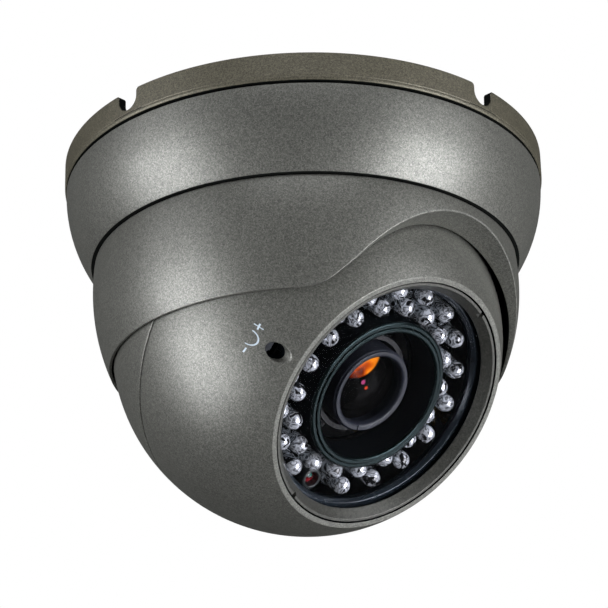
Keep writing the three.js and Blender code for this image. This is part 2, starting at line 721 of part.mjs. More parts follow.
function lensBarrel() {
  const zoomRingFront = ZOOM_GEAR_BACK + GEAR_THICKNESS + GAP;
  const focusRingFront = FOCUS_GEAR_BACK + GEAR_THICKNESS + GAP;
  return turned(
    [
      [BARREL_INNER, PLATE_FRONT + TOUCH],
      [BARREL_FLANGE, PLATE_FRONT + TOUCH],
      [BARREL_FLANGE, ZOOM_GEAR_BACK - GAP],
      [BARREL_OUTER, ZOOM_GEAR_BACK - GAP],
      [BARREL_OUTER, zoomRingFront],
      [BARREL_COLLAR, zoomRingFront],
      [BARREL_COLLAR, FOCUS_GEAR_BACK - GAP],
      [BARREL_OUTER, FOCUS_GEAR_BACK - GAP],
      [BARREL_OUTER, focusRingFront],
      [BARREL_COLLAR, focusRingFront],
      [BARREL_COLLAR, focusRingFront + COLLAR_THICKNESS],
      [BARREL_OUTER, focusRingFront + COLLAR_THICKNESS],
      [BARREL_OUTER, BARREL_FRONT],
      [BARREL_INNER, BARREL_FRONT],
    ],
    MEDIUM,
  );
}

const focusCell = () =>
  turned(
    [
      [CELL_OUTER - 2, CELL_BACK],
      [CELL_OUTER, CELL_BACK],
      [CELL_OUTER, CELL_FRONT],
      [CELL_INNER, CELL_FRONT],
      [CELL_INNER, CELL_FRONT - 2],
      [CELL_OUTER - 1.2, CELL_FRONT - 2],
      [CELL_OUTER - 1.2, FRONT_SEAT],
      [CELL_OUTER - 2, FRONT_SEAT],
    ],
    MEDIUM,
  );

function frontElement() {
  const edge = CELL_OUTER - 1.6;
  return turned([[0, 21], [edge, 22.5], [edge, 25.5], [7, 27.4], [0, 28.4]], MEDIUM);
}

const zoomCell = () => ring(7.6, 9.8, 6, 12);

const rearElement = () => turned([[0, 6.6], [7.2, 7.6], [7.2, 9.6], [0, 10.8]]);

const infraredFilter = () => box(11, 11, sensorFace + 4, sensorFace + 4.6);

const imageSensor = () => box(10, 10, sensorFace + 0.1, sensorFace + 1.9);

// ---------------------------------------------------------------- gears

// A spur gear outline with straight-sided teeth. phase turns it, in parts of one tooth's pitch.
function gearShape(teeth, phase) {
  const pitch = pitchRadius(teeth);
  const turn = 360 / teeth;
  const rootHalf = turn * 0.3;
  const tipHalf = turn * 0.1;
  const corners = around(teeth, phase * turn).flatMap((middle) => [
    [pitch - TOOTH_DEPTH_BELOW, middle - rootHalf],
    [pitch + TOOTH_HEIGHT_ABOVE, middle - tipHalf],
    [pitch + TOOTH_HEIGHT_ABOVE, middle + tipHalf],
    [pitch - TOOTH_DEPTH_BELOW, middle + rootHalf],
  ]);
  return new THREE.Shape(
    corners.map(([radius, angle]) => arc(0, 0, radius, angle, angle, 1)[0]),
  );
}

const gear = (teeth, phase, back) => raised(gearShape(teeth, phase), back, back + GEAR_THICKNESS);

const lensRing = (back) =>
  cut(gear(RING_TEETH, 0, back), rod(RING_BORE, back - OVERRUN, back + GEAR_THICKNESS + OVERRUN, MEDIUM));

const idler = (back) =>
  cut(
    gear(IDLER_TEETH, 0.5, back),
    rod(IDLER_PIN + GAP, back - OVERRUN, back + GEAR_THICKNESS + OVERRUN),
  );

function idlerPin(back) {
  const face = back + GEAR_THICKNESS + GAP;
  return turned(
    [
      [0, PLATE_BACK],
      [IDLER_PIN, PLATE_BACK],
      [IDLER_PIN, face],
      [IDLER_PIN_HEAD, face],
      [IDLER_PIN_HEAD, face + 0.8],
      [0, face + 0.8],
    ],
    SMALL,
  );
}

// The adjuster's outward tooth line faces the idler, which lies towards the lens axis.
function adjuster(back, phase) {
  const shaft = rod(ADJUSTER_SHAFT, PLATE_BACK - 1.2, ADJUSTER_TOP);
  const head = rod(ADJUSTER_HEAD, ADJUSTER_TOP - 4, ADJUSTER_TOP);
  const slot = box(0.8, 3 * ADJUSTER_HEAD, ADJUSTER_TOP - 1.4, ADJUSTER_TOP + OVERRUN);
  return cut(join(gear(ADJUSTER_TEETH, phase, back), shaft, head), slot);
}

// ---------------------------------------------------------------- assembly

const base = new THREE.Group();
base.rotation.z = radians(BASE_TURN);
base.add(
  piece("base_plate", basePlate(), gunmetal),
  piece("cable_grommet", cableGrommet(), rubber),
  piece("trim_ring", trimRing(), gunmetal),
  piece("swivel_seal", swivelSeal(), rubber),
);

const swivel = new THREE.Group();
swivel.add(piece("swivel_bowl", swivelBowl(), gunmetal));

// The tilt axis is the row's X axis at the ball's height, and the ball turns about it.
const pivots = new THREE.Group();
pivots.position.z = BALL_CENTRE;
pivots.add(
  piece("pivot_screw_left", mirrored(pivotScrew()), steel),
  piece("pivot_screw_right", pivotScrew(), steel),
);

const ball = new THREE.Group();
ball.position.z = BALL_CENTRE;
ball.rotation.x = radians(90 + REST_TILT);

ball.add(
  piece("ball_front_shell", frontShell(), gunmetal),
  piece("ball_rear_shell", rearShell(), gunmetal),
  piece("shell_seal_upper", shellSeal(1), rubber),
  piece("shell_seal_lower", shellSeal(-1), rubber),
  piece("pivot_bush_left", mirrored(pivotBush()), nylon),
  piece("pivot_bush_right", pivotBush(), nylon),
  piece("ball_grommet", ballGrommet(), rubber),
  piece("bezel_ring", bezelRing(), gunmetal),
  piece("window_glass", windowGlass(), glass),
  piece("window_gasket", windowGasket(), rubber),
  piece("light_shroud", lightShroud(), rubber),
  piece("lamp_board", lampBoard(), boardBlack),
  piece("light_sensor", lightSensor(), blackPlastic),
  piece("chassis_plate", chassisPlate(), aluminium),
  piece("lens_holder", lensHolder(), blackPlastic),
  piece("sensor_board", sensorBoard(), boardGreen),
  piece("image_sensor", imageSensor(), blackPlastic),
  piece("infrared_filter", infraredFilter(), coatedGlass),
  piece("main_board", mainBoard(), boardGreen),
  piece("lamp_cable", lampCable(), rubber),
  piece("lens_barrel", lensBarrel(), blackPlastic),
  piece("focus_cell", focusCell(), blackPlastic),
  piece("front_element", frontElement(), coatedGlass),
  piece("zoom_cell", zoomCell(), blackPlastic),
  piece("rear_element", rearElement(), coatedGlass),
);

// Zoom gears stand on the -X side of the lens and focus gears on the +X side.
for (const [control, side, back] of [
  ["zoom", -1, ZOOM_GEAR_BACK],
  ["focus", 1, FOCUS_GEAR_BACK],
]) {
  const facingLens = side < 0 ? 0 : 0.5;
  ball.add(
    piece(`${control}_ring`, lensRing(back), blackPlastic),
    piece(`${control}_idler`, moved(idler(back), [side * IDLER_OFFSET, 0]), nylon),
    piece(`${control}_idler_pin`, moved(idlerPin(back), [side * IDLER_OFFSET, 0]), steel),
    piece(`${control}_adjuster`, moved(adjuster(back, facingLens), [side * ADJUSTER_OFFSET, 0]), brass),
  );
}

around(4, 45).forEach((angle, i) => {
  const screw = moved(panScrew(2), placeAt(BOSS_CIRCLE, angle), PLATE_BACK - TOUCH);
  ball.add(piece(`chassis_screw_${i + 1}`, screw, steel));
});

around(3).forEach((angle, i) => {
  const standoff = rod(STANDOFF_RADIUS, PLATE_FRONT + TOUCH, BOARD_BACK - TOUCH, 6);
  ball.add(
    piece(`lamp_standoff_${i + 1}`, moved(standoff, placeAt(LAMP_STANDOFF_CIRCLE, angle)), brass),
  );
});

around(4, 45).forEach((angle, i) => {
  const spot = placeAt(STANDOFF_OFFSET * Math.SQRT2, angle);
  const boardFront = MAIN_BOARD_BACK + BOARD_THICKNESS;
  const standoff = rod(STANDOFF_RADIUS, boardFront + TOUCH, PLATE_BACK - TOUCH, 6);
  ball.add(piece(`board_standoff_${i + 1}`, moved(standoff, spot), brass));
});

for (const [name, side] of [
  ["left", -1],
  ["right", 1],
]) {
  const wallInside = BALL_BACK + BALL_WALL;
  const post = cut(
    rod(POST_RADIUS, wallInside + TOUCH, PLATE_BACK - TOUCH),
    rod(SCREW_SHANK + FIT, wallInside - OVERRUN, wallInside + SCREW_LENGTH),
  );
  const screw = moved(panScrew(1.2), [side * POST_OFFSET, 0], BALL_BACK + BALL_WALL / 2 - TOUCH);
  ball.add(
    piece(`shell_post_${name}`, moved(post, [side * POST_OFFSET, 0]), brass),
    piece(`shell_screw_${name}`, screw, steel),
  );
}

const camera = new THREE.Group();
camera.add(base, swivel, pivots, ball);

export default camera;
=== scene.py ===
"""Looks of the ceiling dome camera: smooth shells, window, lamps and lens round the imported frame.

Profiles are in millimetres. The row frame hangs the camera below the ceiling plane. The ball's frame
has its origin at the ball's centre, +Z along the lens axis, +Y towards the ceiling side and the zoom control
on its -X side. The base's frame is the row frame turned by BASE_TURN.
"""

import json
import math

import bmesh
import bpy
from mathutils import Matrix, Vector


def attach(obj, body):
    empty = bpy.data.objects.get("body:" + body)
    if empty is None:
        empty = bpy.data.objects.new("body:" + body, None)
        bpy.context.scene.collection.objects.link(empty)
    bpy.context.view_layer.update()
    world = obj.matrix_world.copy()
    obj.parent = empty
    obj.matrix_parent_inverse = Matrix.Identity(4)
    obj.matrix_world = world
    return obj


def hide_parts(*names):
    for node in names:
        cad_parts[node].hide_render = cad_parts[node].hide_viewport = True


MM = 0.001

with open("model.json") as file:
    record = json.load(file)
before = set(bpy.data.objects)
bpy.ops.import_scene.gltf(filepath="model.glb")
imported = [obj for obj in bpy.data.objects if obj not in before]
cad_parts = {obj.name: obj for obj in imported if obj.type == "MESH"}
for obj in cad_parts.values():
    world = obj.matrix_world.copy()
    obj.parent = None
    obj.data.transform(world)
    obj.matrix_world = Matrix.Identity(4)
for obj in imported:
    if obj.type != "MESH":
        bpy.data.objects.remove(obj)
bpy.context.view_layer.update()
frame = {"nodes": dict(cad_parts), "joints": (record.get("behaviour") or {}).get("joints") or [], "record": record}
joints = {joint["name"]: joint for joint in frame["joints"]}

# ---------------------------------------------------------------- frames and measures

BASE_TURN = -3.5

BALL_CENTRE = Vector(joints["ball_tilt"]["pos_m"]) / MM
LENS_AXIS = Vector(joints["zoom_slide"]["axis"]).normalized()
TILT_AXIS = Vector(joints["ball_tilt"]["axis"]).normalized()


def in_metres(rotation, origin=(0, 0, 0)):
    """A placement for a mesh that is drawn in millimetres."""
    return Matrix.Translation(Vector(origin) * MM) @ rotation.to_4x4() @ Matrix.Scale(MM, 4)


def columns(x, y, z):
    return Matrix((x, y, z)).transposed()


ROW = in_metres(Matrix.Identity(3))
BASE = in_metres(Matrix.Rotation(math.radians(BASE_TURN), 3, "Z"))
BALL = in_metres(columns(TILT_AXIS, LENS_AXIS.cross(TILT_AXIS), LENS_AXIS), BALL_CENTRE)


class Extent:
    """How far a CAD node reaches along and round a frame's Z axis, in millimetres."""

    def __init__(self, node, place):
        back = place.inverted()
        points = [back @ v.co for v in frame["nodes"][node].data.vertices]
        self.low = min(p.z for p in points)
        self.high = max(p.z for p in points)
        self.outer = max(math.hypot(p.x, p.y) for p in points)
        self.inner = min(math.hypot(p.x, p.y) for p in points)


base = Extent("base_plate", BASE)
trim = Extent("trim_ring", BASE)
bowl = Extent("swivel_bowl", ROW)
front = Extent("ball_front_shell", BALL)
back = Extent("ball_rear_shell", BALL)
bezel = Extent("bezel_ring", BALL)
glass = Extent("window_glass", BALL)
board = Extent("lamp_board", BALL)
shroud = Extent("light_shroud", BALL)
barrel = Extent("lens_barrel", BALL)
cell = Extent("focus_cell", BALL)
light_sensor = Extent("light_sensor", BALL)

# ---------------------------------------------------------------- outlines

ROUND_STEPS = 4


def arc(centre, radius, start, end, steps):
    """Points round an arc, with angles in degrees from the first axis."""
    angles = [math.radians(start + (end - start) * i / steps) for i in range(steps + 1)]
    return [(centre[0] + radius * math.cos(a), centre[1] + radius * math.sin(a)) for a in angles]


def angle_at(radius, centre, height):
    return math.degrees(math.asin((height - centre) / radius))


def rounded(corners, closed=True):
    """Replaces each (x, y, radius) corner with an arc of about that radius; (x, y) stays sharp."""
    points = []
    count = len(corners)
    for i, corner in enumerate(corners):
        here = Vector(corner[:2])
        at_end = not closed and i in (0, count - 1)
        if len(corner) < 3 or at_end:
            points.append(tuple(here))
            continue
        before = Vector(corners[i - 1][:2]) - here
        after = Vector(corners[(i + 1) % count][:2]) - here
        reach = min(corner[2], before.length * 0.49, after.length * 0.49)
        start = here + before.normalized() * reach
        end = here + after.normalized() * reach
        points += [tuple(point) for point in soft_corner([start, here, end])]
    return points


def soft_corner(bend):
    """Points along the curve from the first of three points to the last, bent towards the middle one."""
    start, corner, end = bend
    steps = [i / ROUND_STEPS for i in range(ROUND_STEPS + 1)]
    return [start * (1 - t) ** 2 + corner * (2 * t * (1 - t)) + end * t**2 for t in steps]


# ---------------------------------------------------------------- meshes

SEGMENTS = 240


def mesh_from(name, vertices, faces):
    mesh = bpy.data.meshes.new(name)
    mesh.from_pydata(vertices, [], faces)
    mesh.validate()
    return mesh


def turned(profile, segments=SEGMENTS, name="turned"):
    """A profile of (radius, height) turned round Z, as (vertices, faces). Closes on itself or the axis."""
    on_axis = [i for i, (r, _) in enumerate(profile) if r < 1e-6]
    rows, vertices = [], []
    for r, z in profile:
        start = len(vertices)
        if r < 1e-6:
            vertices.append((0, 0, z))
            rows.append([start] * segments)
            continue
        for k in range(segments):
            angle = 2 * math.pi * k / segments
            vertices.append((r * math.cos(angle), r * math.sin(angle), z))
        rows.append(list(range(start, start + segments)))
    pairs = list(zip(rows, rows[1:]))
    if not on_axis:
        pairs.append((rows[-1], rows[0]))
    faces = []
    for lower, upper in pairs:
        for k in range(segments):
            n = (k + 1) % segments
            ring = [lower[k], lower[n], upper[n], upper[k]]
            face = [v for i, v in enumerate(ring) if v != ring[i - 1]]
            if len(face) > 2:
                faces.append(face)
    return vertices, faces


def merged(parts):
    """Several (vertices, faces) as one."""
    vertices, faces = [], []
    for more_vertices, more_faces in parts:
        start = len(vertices)
        vertices += more_vertices
        faces += [[i + start for i in face] for face in more_faces]
    return vertices, faces


def shifted(part, x=0, y=0, z=0):
    vertices, faces = part
    return [(a + x, b + y, c + z) for a, b, c in vertices], faces


def prism(outline, low, high):
    """An outline in X and Y raised from low to high."""
    count = len(outline)
    vertices = [(x, y, low) for x, y in outline] + [(x, y, high) for x, y in outline]
    faces = [list(range(count))[::-1], list(range(count, 2 * count))]
    for i in range(count):
        n = (i + 1) % count
        faces.append([i, n, n + count, i + count])
    return vertices, faces


def block(x, y, z):
    """A box between two corners given as three (low, high) pairs."""
    return prism([(x[0], y[0]), (x[1], y[0]), (x[1], y[1]), (x[0], y[1])], *z)


def placed(part, matrix):
    vertices, faces = part
    return [tuple(matrix @ Vector(v)) for v in vertices], faces


def outward(mesh):
    """Points every face of a closed mesh outwards."""
    bm = bmesh.new()
    bm.from_mesh(mesh)
    bmesh.ops.recalc_face_normals(bm, faces=bm.faces)
    if bm.calc_volume(signed=True) < 0:
        bmesh.ops.reverse_faces(bm, faces=bm.faces)
    bm.to_mesh(mesh)
    bm.free()
    return mesh


def carved(mesh, cutters, operation="DIFFERENCE"):
    """The mesh after cutting it with each (vertices, faces)."""
    scene = bpy.context.scene
    work = bpy.data.objects.new("work", mesh)
    scene.collection.objects.link(work)
    tools = []
    for part in cutters:
        tool = bpy.data.objects.new("tool", outward(mesh_from("tool", *part)))
        scene.collection.objects.link(tool)
        tools.append(tool)
        cut = work.modifiers.new("cut", "BOOLEAN")
        cut.operation = operation
        cut.solver = "EXACT"
        cut.object = tool
    bpy.context.view_layer.update()
    graph = bpy.context.evaluated_depsgraph_get()
    result = bpy.data.meshes.new_from_object(work.evaluated_get(graph))
    for used in [work, *tools]:
        bpy.data.objects.remove(used)
    return result


SHARP = 32


def add_piece(name, mesh, place, body, slot, material, nodes=(), marks=(), bevel=0.0, weighted=True):
    """Finishes a mesh drawn in millimetres as a smooth piece of a body that stands for CAD nodes.

    Where there are several materials, marks says which one each face has.
    """
    mesh.transform(place)
    mesh.name = name
    mesh.materials.clear()
    for one in material if isinstance(material, list) else [material]:
        mesh.materials.append(one)
    for face, mark in zip(mesh.polygons, marks):
        face.material_index = mark
    mesh.shade_smooth()
    mesh.set_sharp_from_angle(angle=math.radians(SHARP))
    obj = bpy.data.objects.new(name, mesh)
    bpy.context.scene.collection.objects.link(obj)
    if bevel:
        soften = obj.modifiers.new("soften", "BEVEL")
        soften.width = bevel * MM
        soften.segments = 3
        soften.limit_method = "ANGLE"
        soften.angle_limit = math.radians(40)
        soften.use_clamp_overlap = False
        soften.harden_normals = False
    if weighted:
        even = obj.modifiers.new("even", "WEIGHTED_NORMAL")
        even.keep_sharp = True
    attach(obj, body)
    if nodes:
        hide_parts(*nodes)


# ---------------------------------------------------------------- materials


class Shader:
    """A Principled material and the few nodes that vary it over the surface."""

    def __init__(self, name, **sockets):
        self.material = bpy.data.materials.new(name)
        self.material.use_nodes = True
        self.tree = self.material.node_tree
        self.bsdf = self.tree.nodes["Principled BSDF"]
        self.set(**sockets)
        self.place = self.tree.nodes.new("ShaderNodeTexCoord").outputs["Object"]

    def set(self, **sockets):
        for key, value in sockets.items():
            socket = self.bsdf.inputs[key.replace("_", " ").title().replace("Ior", "IOR")]
            socket.default_value = (*value, 1) if isinstance(value, tuple) else value

    def link(self, output, socket):
        self.tree.links.new(output, socket)
        return self

    def noise(self, size_mm, detail=2.0, roughness=0.5, distortion=0.0):
        node = self.tree.nodes.new("ShaderNodeTexNoise")
        node.inputs["Scale"].default_value = 1 / (size_mm * MM)
        node.inputs["Detail"].default_value = detail
        node.inputs["Roughness"].default_value = roughness
        node.inputs["Distortion"].default_value = distortion
        self.link(self.place, node.inputs["Vector"])
        return node.outputs["Fac"]

    def grey_flakes(self, size_mm, low, high):
        """Cells of this size, each with its own even grey from low to high."""
        node = self.tree.nodes.new("ShaderNodeTexVoronoi")
        node.inputs["Scale"].default_value = 1 / (size_mm * MM)
        self.link(self.place, node.inputs["Vector"])
        split = self.tree.nodes.new("ShaderNodeSeparateColor")
        self.link(node.outputs["Color"], split.inputs["Color"])
        return self.scaled(split.outputs["Red"], low, high)

    def scaled(self, value, low, high):
        """Maps 0 to 1 onto low to high."""
        node = self.tree.nodes.new("ShaderNodeMapRange")
        node.inputs["To Min"].default_value = low
        node.inputs["To Max"].default_value = high
        self.link(value, node.inputs["Value"])
        return node.outputs["Result"]

    def ramp(self, value, *stops):
        node = self.tree.nodes.new("ShaderNodeValToRGB")
        elements = node.color_ramp.elements
        while len(elements) < len(stops):
            elements.new(0.5)
        for element, (position, colour) in zip(elements, stops):
            element.position = position
            element.color = (*colour, 1)
        self.link(value, node.inputs["Fac"])
        return node.outputs["Color"]

    def mixed(self, factor, first, second, blend="MIX"):
        node = self.tree.nodes.new("ShaderNodeMix")
        node.data_type = "RGBA"
        node.blend_type = blend
        for value, socket in ((factor, node.inputs[0]), (first, node.inputs[6]), (second, node.inputs[7])):
            if isinstance(value, bpy.types.NodeSocket):
                self.link(value, socket)
            else:
                socket.default_value = (*value, 1) if isinstance(value, tuple) else value
        return node.outputs[2]

    def bump(self, height, depth_mm, strength=1.0, onto=None):
        node = self.tree.nodes.new("ShaderNodeBump")
        node.inputs["Strength"].default_value = strength
        node.inputs["Distance"].default_value = depth_mm * MM
        self.link(height, node.inputs["Height"])
        if onto is not None:
            self.link(onto, node.inputs["Normal"])
        return node.outputs["Normal"]

    def base(self, colour):
        return self.link(colour, self.bsdf.inputs["Base Color"])

    def normal(self, output):
        return self.link(output, self.bsdf.inputs["Normal"])

    def roughness(self, output):
        return self.link(output, self.bsdf.inputs["Roughness"])


def shade(colour, factor):
    return tuple(c * factor for c in colour)


def metallic_paint(name, colour, roughness=0.42):
    """Gunmetal paint: aluminium flakes of two sizes under a satin lacquer, with faint clouds."""
    s = Shader(name, metallic=0.55, coat_weight=0.15, coat_roughness=0.3)
    cloud = s.ramp(s.noise(14, detail=3), (0.3, shade(colour, 0.96)), (0.7, shade(colour, 1.04)))
    coarse = s.mixed(1.0, cloud, s.grey_flakes(0.34, 0.72, 1.28), "MULTIPLY")
    s.base(s.mixed(1.0, coarse, s.grey_flakes(0.2, 0.7, 1.3), "MULTIPLY"))
    s.roughness(s.scaled(s.noise(0.8, detail=2), roughness * 0.92, roughness * 1.08))
    s.normal(s.bump(s.grey_flakes(0.25, 0.0, 1.0), 0.012, strength=0.3))
    return s.material


def moulded(name, colour, roughness=0.45, grain_mm=0.3, depth_mm=0.01, **sockets):
    """Plastic, rubber or board with a fine moulded grain."""
    s = Shader(name, **sockets)
    tone = s.ramp(s.noise(6, detail=3), (0.3, shade(colour, 0.85)), (0.7, shade(colour, 1.2)))
    s.base(tone)
    s.roughness(s.scaled(s.noise(2), roughness * 0.85, roughness * 1.15))
    s.normal(s.bump(s.noise(grain_mm), depth_mm, strength=0.5))
    return s.material


def turned_metal(name, colour, roughness=0.3):
    s = Shader(name, metallic=1.0)
    s.base(s.ramp(s.noise(1.5, detail=4), (0.3, shade(colour, 0.85)), (0.7, colour)))
    s.roughness(s.scaled(s.noise(0.4, detail=3), roughness * 0.7, roughness * 1.4))
    return s.material


def clear(name, colour, ior=1.5, roughness=0.0, **sockets):
    """Solid glass or epoxy with faint flow marks."""
    s = Shader(name, transmission_weight=1.0, ior=ior, roughness=roughness, **sockets)
    s.base(s.ramp(s.noise(1.2), (0.2, shade(colour, 0.96)), (0.8, colour)))
    return s.material


def painted_lamp_reflections(name, bright, dark):
    """Clear epoxy drawn opaque: the bright cup and the dark board that it would magnify are painted on as folds of
    painted reflection, with a faint painted glow.
    """
    s = Shader(name, metallic=0.45, roughness=0.1, coat_weight=1.0, coat_roughness=0.04)
    folds = s.ramp(
        s.noise(2.6, detail=0.5, distortion=1.6),
        (0.36, shade(bright, dark * 0.04)),
        (0.42, shade(bright, dark)),
        (0.49, bright),
        (0.55, shade(bright, dark)),
        (0.58, shade(bright, dark * 0.04)),
        (0.61, shade(bright, dark)),
        (0.66, bright),
    )
    s.base(folds)
    # Painted glow: the folds are also given a faint emission.
    s.link(folds, s.bsdf.inputs["Emission Color"])
    s.set(emission_strength=0.1)
    s.normal(s.bump(s.noise(2.2, detail=1, distortion=1.5), 0.35, strength=0.45))
    return s.material


def window_pane(name):
    """A clear pane: nearly all of what lies behind shows, with a thin gloss of its own."""
    s = Shader(name, roughness=0.02, ior=1.5, specular_ior_level=0.2)
    s.base(s.ramp(s.noise(30), (0.3, (0.003, 0.004, 0.004)), (0.7, (0.005, 0.006, 0.006))))
    s.set(alpha=0.03)
    return s.material


PAINT = (0.150, 0.152, 0.130)
paint_shell = metallic_paint("paint_shell", PAINT)
paint_base = metallic_paint("paint_base", (0.112, 0.104, 0.071), 0.5)
paint_bezel = metallic_paint("paint_bezel", shade(PAINT, 0.52))
# Painted shade: a near-black for faces deep in gaps, notches and hollows, standing for the shade that falls there.
painted_gap_shade = moulded("painted_gap_shade", (0.004, 0.005, 0.004), 0.7, specular_ior_level=0.1)
# Black for the window seat's bore, and painted shade for the deep control-hole walls and the light shroud's body
# below its top.
seat_black_and_painted_shade = moulded("seat_black_and_painted_shade", (0.003, 0.004, 0.005), 0.5, specular_ior_level=0)
board_black = moulded("board_black", (0.002, 0.002, 0.002), 0.6, specular_ior_level=0)
shroud_rubber = moulded("shroud_rubber", (0.009, 0.018, 0.019), 0.16, metallic=0.8)
gasket_rubber = moulded("gasket_rubber", (0.016, 0.023, 0.031), 0.26, metallic=0.4)
lens_black = moulded("lens_black", (0.015, 0.018, 0.028), 0.38)
barrel_black = moulded("barrel_black", (0.012, 0.013, 0.018), 0.42)
sensor_rubber = moulded("sensor_rubber", (0.014, 0.018, 0.019), 0.35)
soft_rubber = moulded("soft_rubber", (0.012, 0.012, 0.012), 0.75)
black_plastic = moulded("black_plastic", (0.010, 0.010, 0.011), 0.45)
green_board = moulded("green_board", (0.010, 0.075, 0.035), 0.4)
grey_nylon = moulded("grey_nylon", (0.10, 0.11, 0.125), 0.5)
zinc_steel = turned_metal("zinc_steel", (0.62, 0.62, 0.63), 0.3)
turned_brass = turned_metal("turned_brass", (0.62, 0.45, 0.16), 0.28)
cast_aluminium = turned_metal("cast_aluminium", (0.58, 0.59, 0.6), 0.45)
lead_frame = turned_metal("lead_frame", (0.86, 0.87, 0.9), 0.18)
# Painted reflections for the lamps' domes, and dimmer ones for their necks.
lamp_dome = painted_lamp_reflections("lamp_dome", (0.88, 0.92, 1.0), 0.42)
lamp_neck = painted_lamp_reflections("lamp_neck", (0.50, 0.55, 0.62), 0.22)
lens_glass = clear("lens_glass", (0.30, 0.22, 0.16), 1.5)
pane = window_pane("window_pane")
legend_white = moulded("legend_white", (0.50, 0.58, 0.62), 0.5)

BY_SLOT = {
    "gunmetal": paint_shell,
    "black_plastic": black_plastic,
    "rubber": soft_rubber,
    "glass": pane,
    "lens_glass": lens_glass,
    "steel": zinc_steel,
    "brass": turned_brass,
    "circuit_board": green_board,
    "lamp_board": board_black,
    "nylon": grey_nylon,
    "aluminium": cast_aluminium,
}


def paint_cad_nodes():
    """Gives every carried-over CAD node the material of its slot."""
    for row in frame["record"]["subparts"]:
        mesh = frame["nodes"][row["node"]].data
        mesh.materials.clear()
        mesh.materials.append(BY_SLOT[row["material_slot"]])


# ---------------------------------------------------------------- base and trim ring

COLLAR_OUTER = 62.7
COLLAR_INNER = 59.6
COLLAR_END = base.low
BASE_HEIGHT = 8.1
BEAD_HEIGHT = 1.1
BEAD_SLOPE = 0.35
BEAD_LINE = 0.22
WALL = 2.5
FLOOR = 2.0
LEDGE_TOP = -BASE_HEIGHT + FLOOR
HUB_RADIUS = 40.0
HUB_TOP = -0.9
CABLE_HOLE = 7.0
NOTCH_WIDTH = 6.6
NOTCH_DEPTH = 5.7
NOTCH_FLARE = 1.2
FIXING_CIRCLE = 51.0
FIXING_BOSS = 6.0
FIXING_HOLE = 2.5


def notch_outline():
    """A round-bottomed notch with a softly flared mouth, open above the ceiling plane."""
    half = NOTCH_WIDTH / 2
    lip = arc((half + NOTCH_FLARE, -NOTCH_FLARE), NOTCH_FLARE, 90, 180, 6)
    side = [(half + NOTCH_FLARE, 1.0), *lip]
    bottom = arc((0, half - NOTCH_DEPTH), half, 180, 360, 20)
    return [(-x, y) for x, y in side] + bottom + side[::-1]


def build_base():
    rim = base.outer
    line = -BASE_HEIGHT + BEAD_HEIGHT
    profile = rounded(
        [
            (rim, 0, 0.4),
            (rim, line + BEAD_LINE, 0.05),
            (rim - BEAD_LINE, line),
            (rim, line - BEAD_LINE, 0.2),
            (rim - 0.1, -BASE_HEIGHT + 0.3, 0.2),
            (rim - BEAD_SLOPE, -BASE_HEIGHT, 0.15),
            (COLLAR_OUTER, -BASE_HEIGHT),
            (COLLAR_OUTER, COLLAR_END, 0.3),
            (COLLAR_INNER, COLLAR_END, 0.3),
            (COLLAR_INNER, -BASE_HEIGHT),
            (HUB_RADIUS - FLOOR, -BASE_HEIGHT, 0.5),
            (HUB_RADIUS - FLOOR, HUB_TOP - FLOOR, 1.0),
            (CABLE_HOLE, HUB_TOP - FLOOR, 0.3),
            (CABLE_HOLE, HUB_TOP, 0.3),
            (HUB_RADIUS, HUB_TOP, 1.0),
            (HUB_RADIUS, LEDGE_TOP, 0.6),
            (rim - WALL, LEDGE_TOP, 0.6),
            (rim - WALL, 0, 0.3),
        ]
    )
    mesh = outward(mesh_from("base", *turned(profile)))
    spots = [(FIXING_CIRCLE, math.radians(45 + 90 * k)) for k in range(4)]
    places = [(r * math.cos(a), r * math.sin(a)) for r, a in spots]
    foot = LEDGE_TOP - 1
    boss = turned(rounded([(0, foot), (FIXING_BOSS, foot), (FIXING_BOSS, 0, 0.5), (0, 0)]), 64)
    hole = turned([(0, -BASE_HEIGHT - 1), (FIXING_HOLE, -BASE_HEIGHT - 1), (FIXING_HOLE, 1), (0, 1)], 48)
    mesh = carved(mesh, [shifted(boss, x, y) for x, y in places], "UNION")
    reach = prism(notch_outline(), rim - WALL - 2, rim + 2)
    stand = Matrix.Rotation(math.radians(90), 4, "X")
    notches = [placed(reach, Matrix.Rotation(math.radians(90 * k), 4, "Z") @ stand) for k in range(4)]
    mesh = carved(mesh, [shifted(hole, x, y) for x, y in places] + notches)

    # Painted shade: the notch walls and the base's underside in its gap to the trim ring take the near-black,
    # standing for the shade there.
    def is_dark(x, y, z):
        across = min(abs(x), abs(y)) < NOTCH_WIDTH / 2 + NOTCH_FLARE + 0.1
        reach = math.hypot(x, y)
        in_notch = across and rim - WALL + 0.1 < reach < rim - 0.1 and line < z < -0.05
        in_gap = z < -BASE_HEIGHT + 0.02 and reach < rim - BEAD_SLOPE - 0.1
        return in_notch or in_gap

    marks = [int(is_dark(*face.center)) for face in mesh.polygons]
    materials = [paint_base, painted_gap_shade]
    nodes = ["base_plate"]
    add_piece("base_casting", mesh, BASE, "base", "gunmetal", materials, nodes, marks=marks, bevel=0.22)


TRIM_CURVE = 39.0
TRIM_INNER = trim.inner
TRIM_LEDGE = -24.5
TRIM_BORE = 61.0
TRIM_EDGE = 0.25
GAP = 0.4


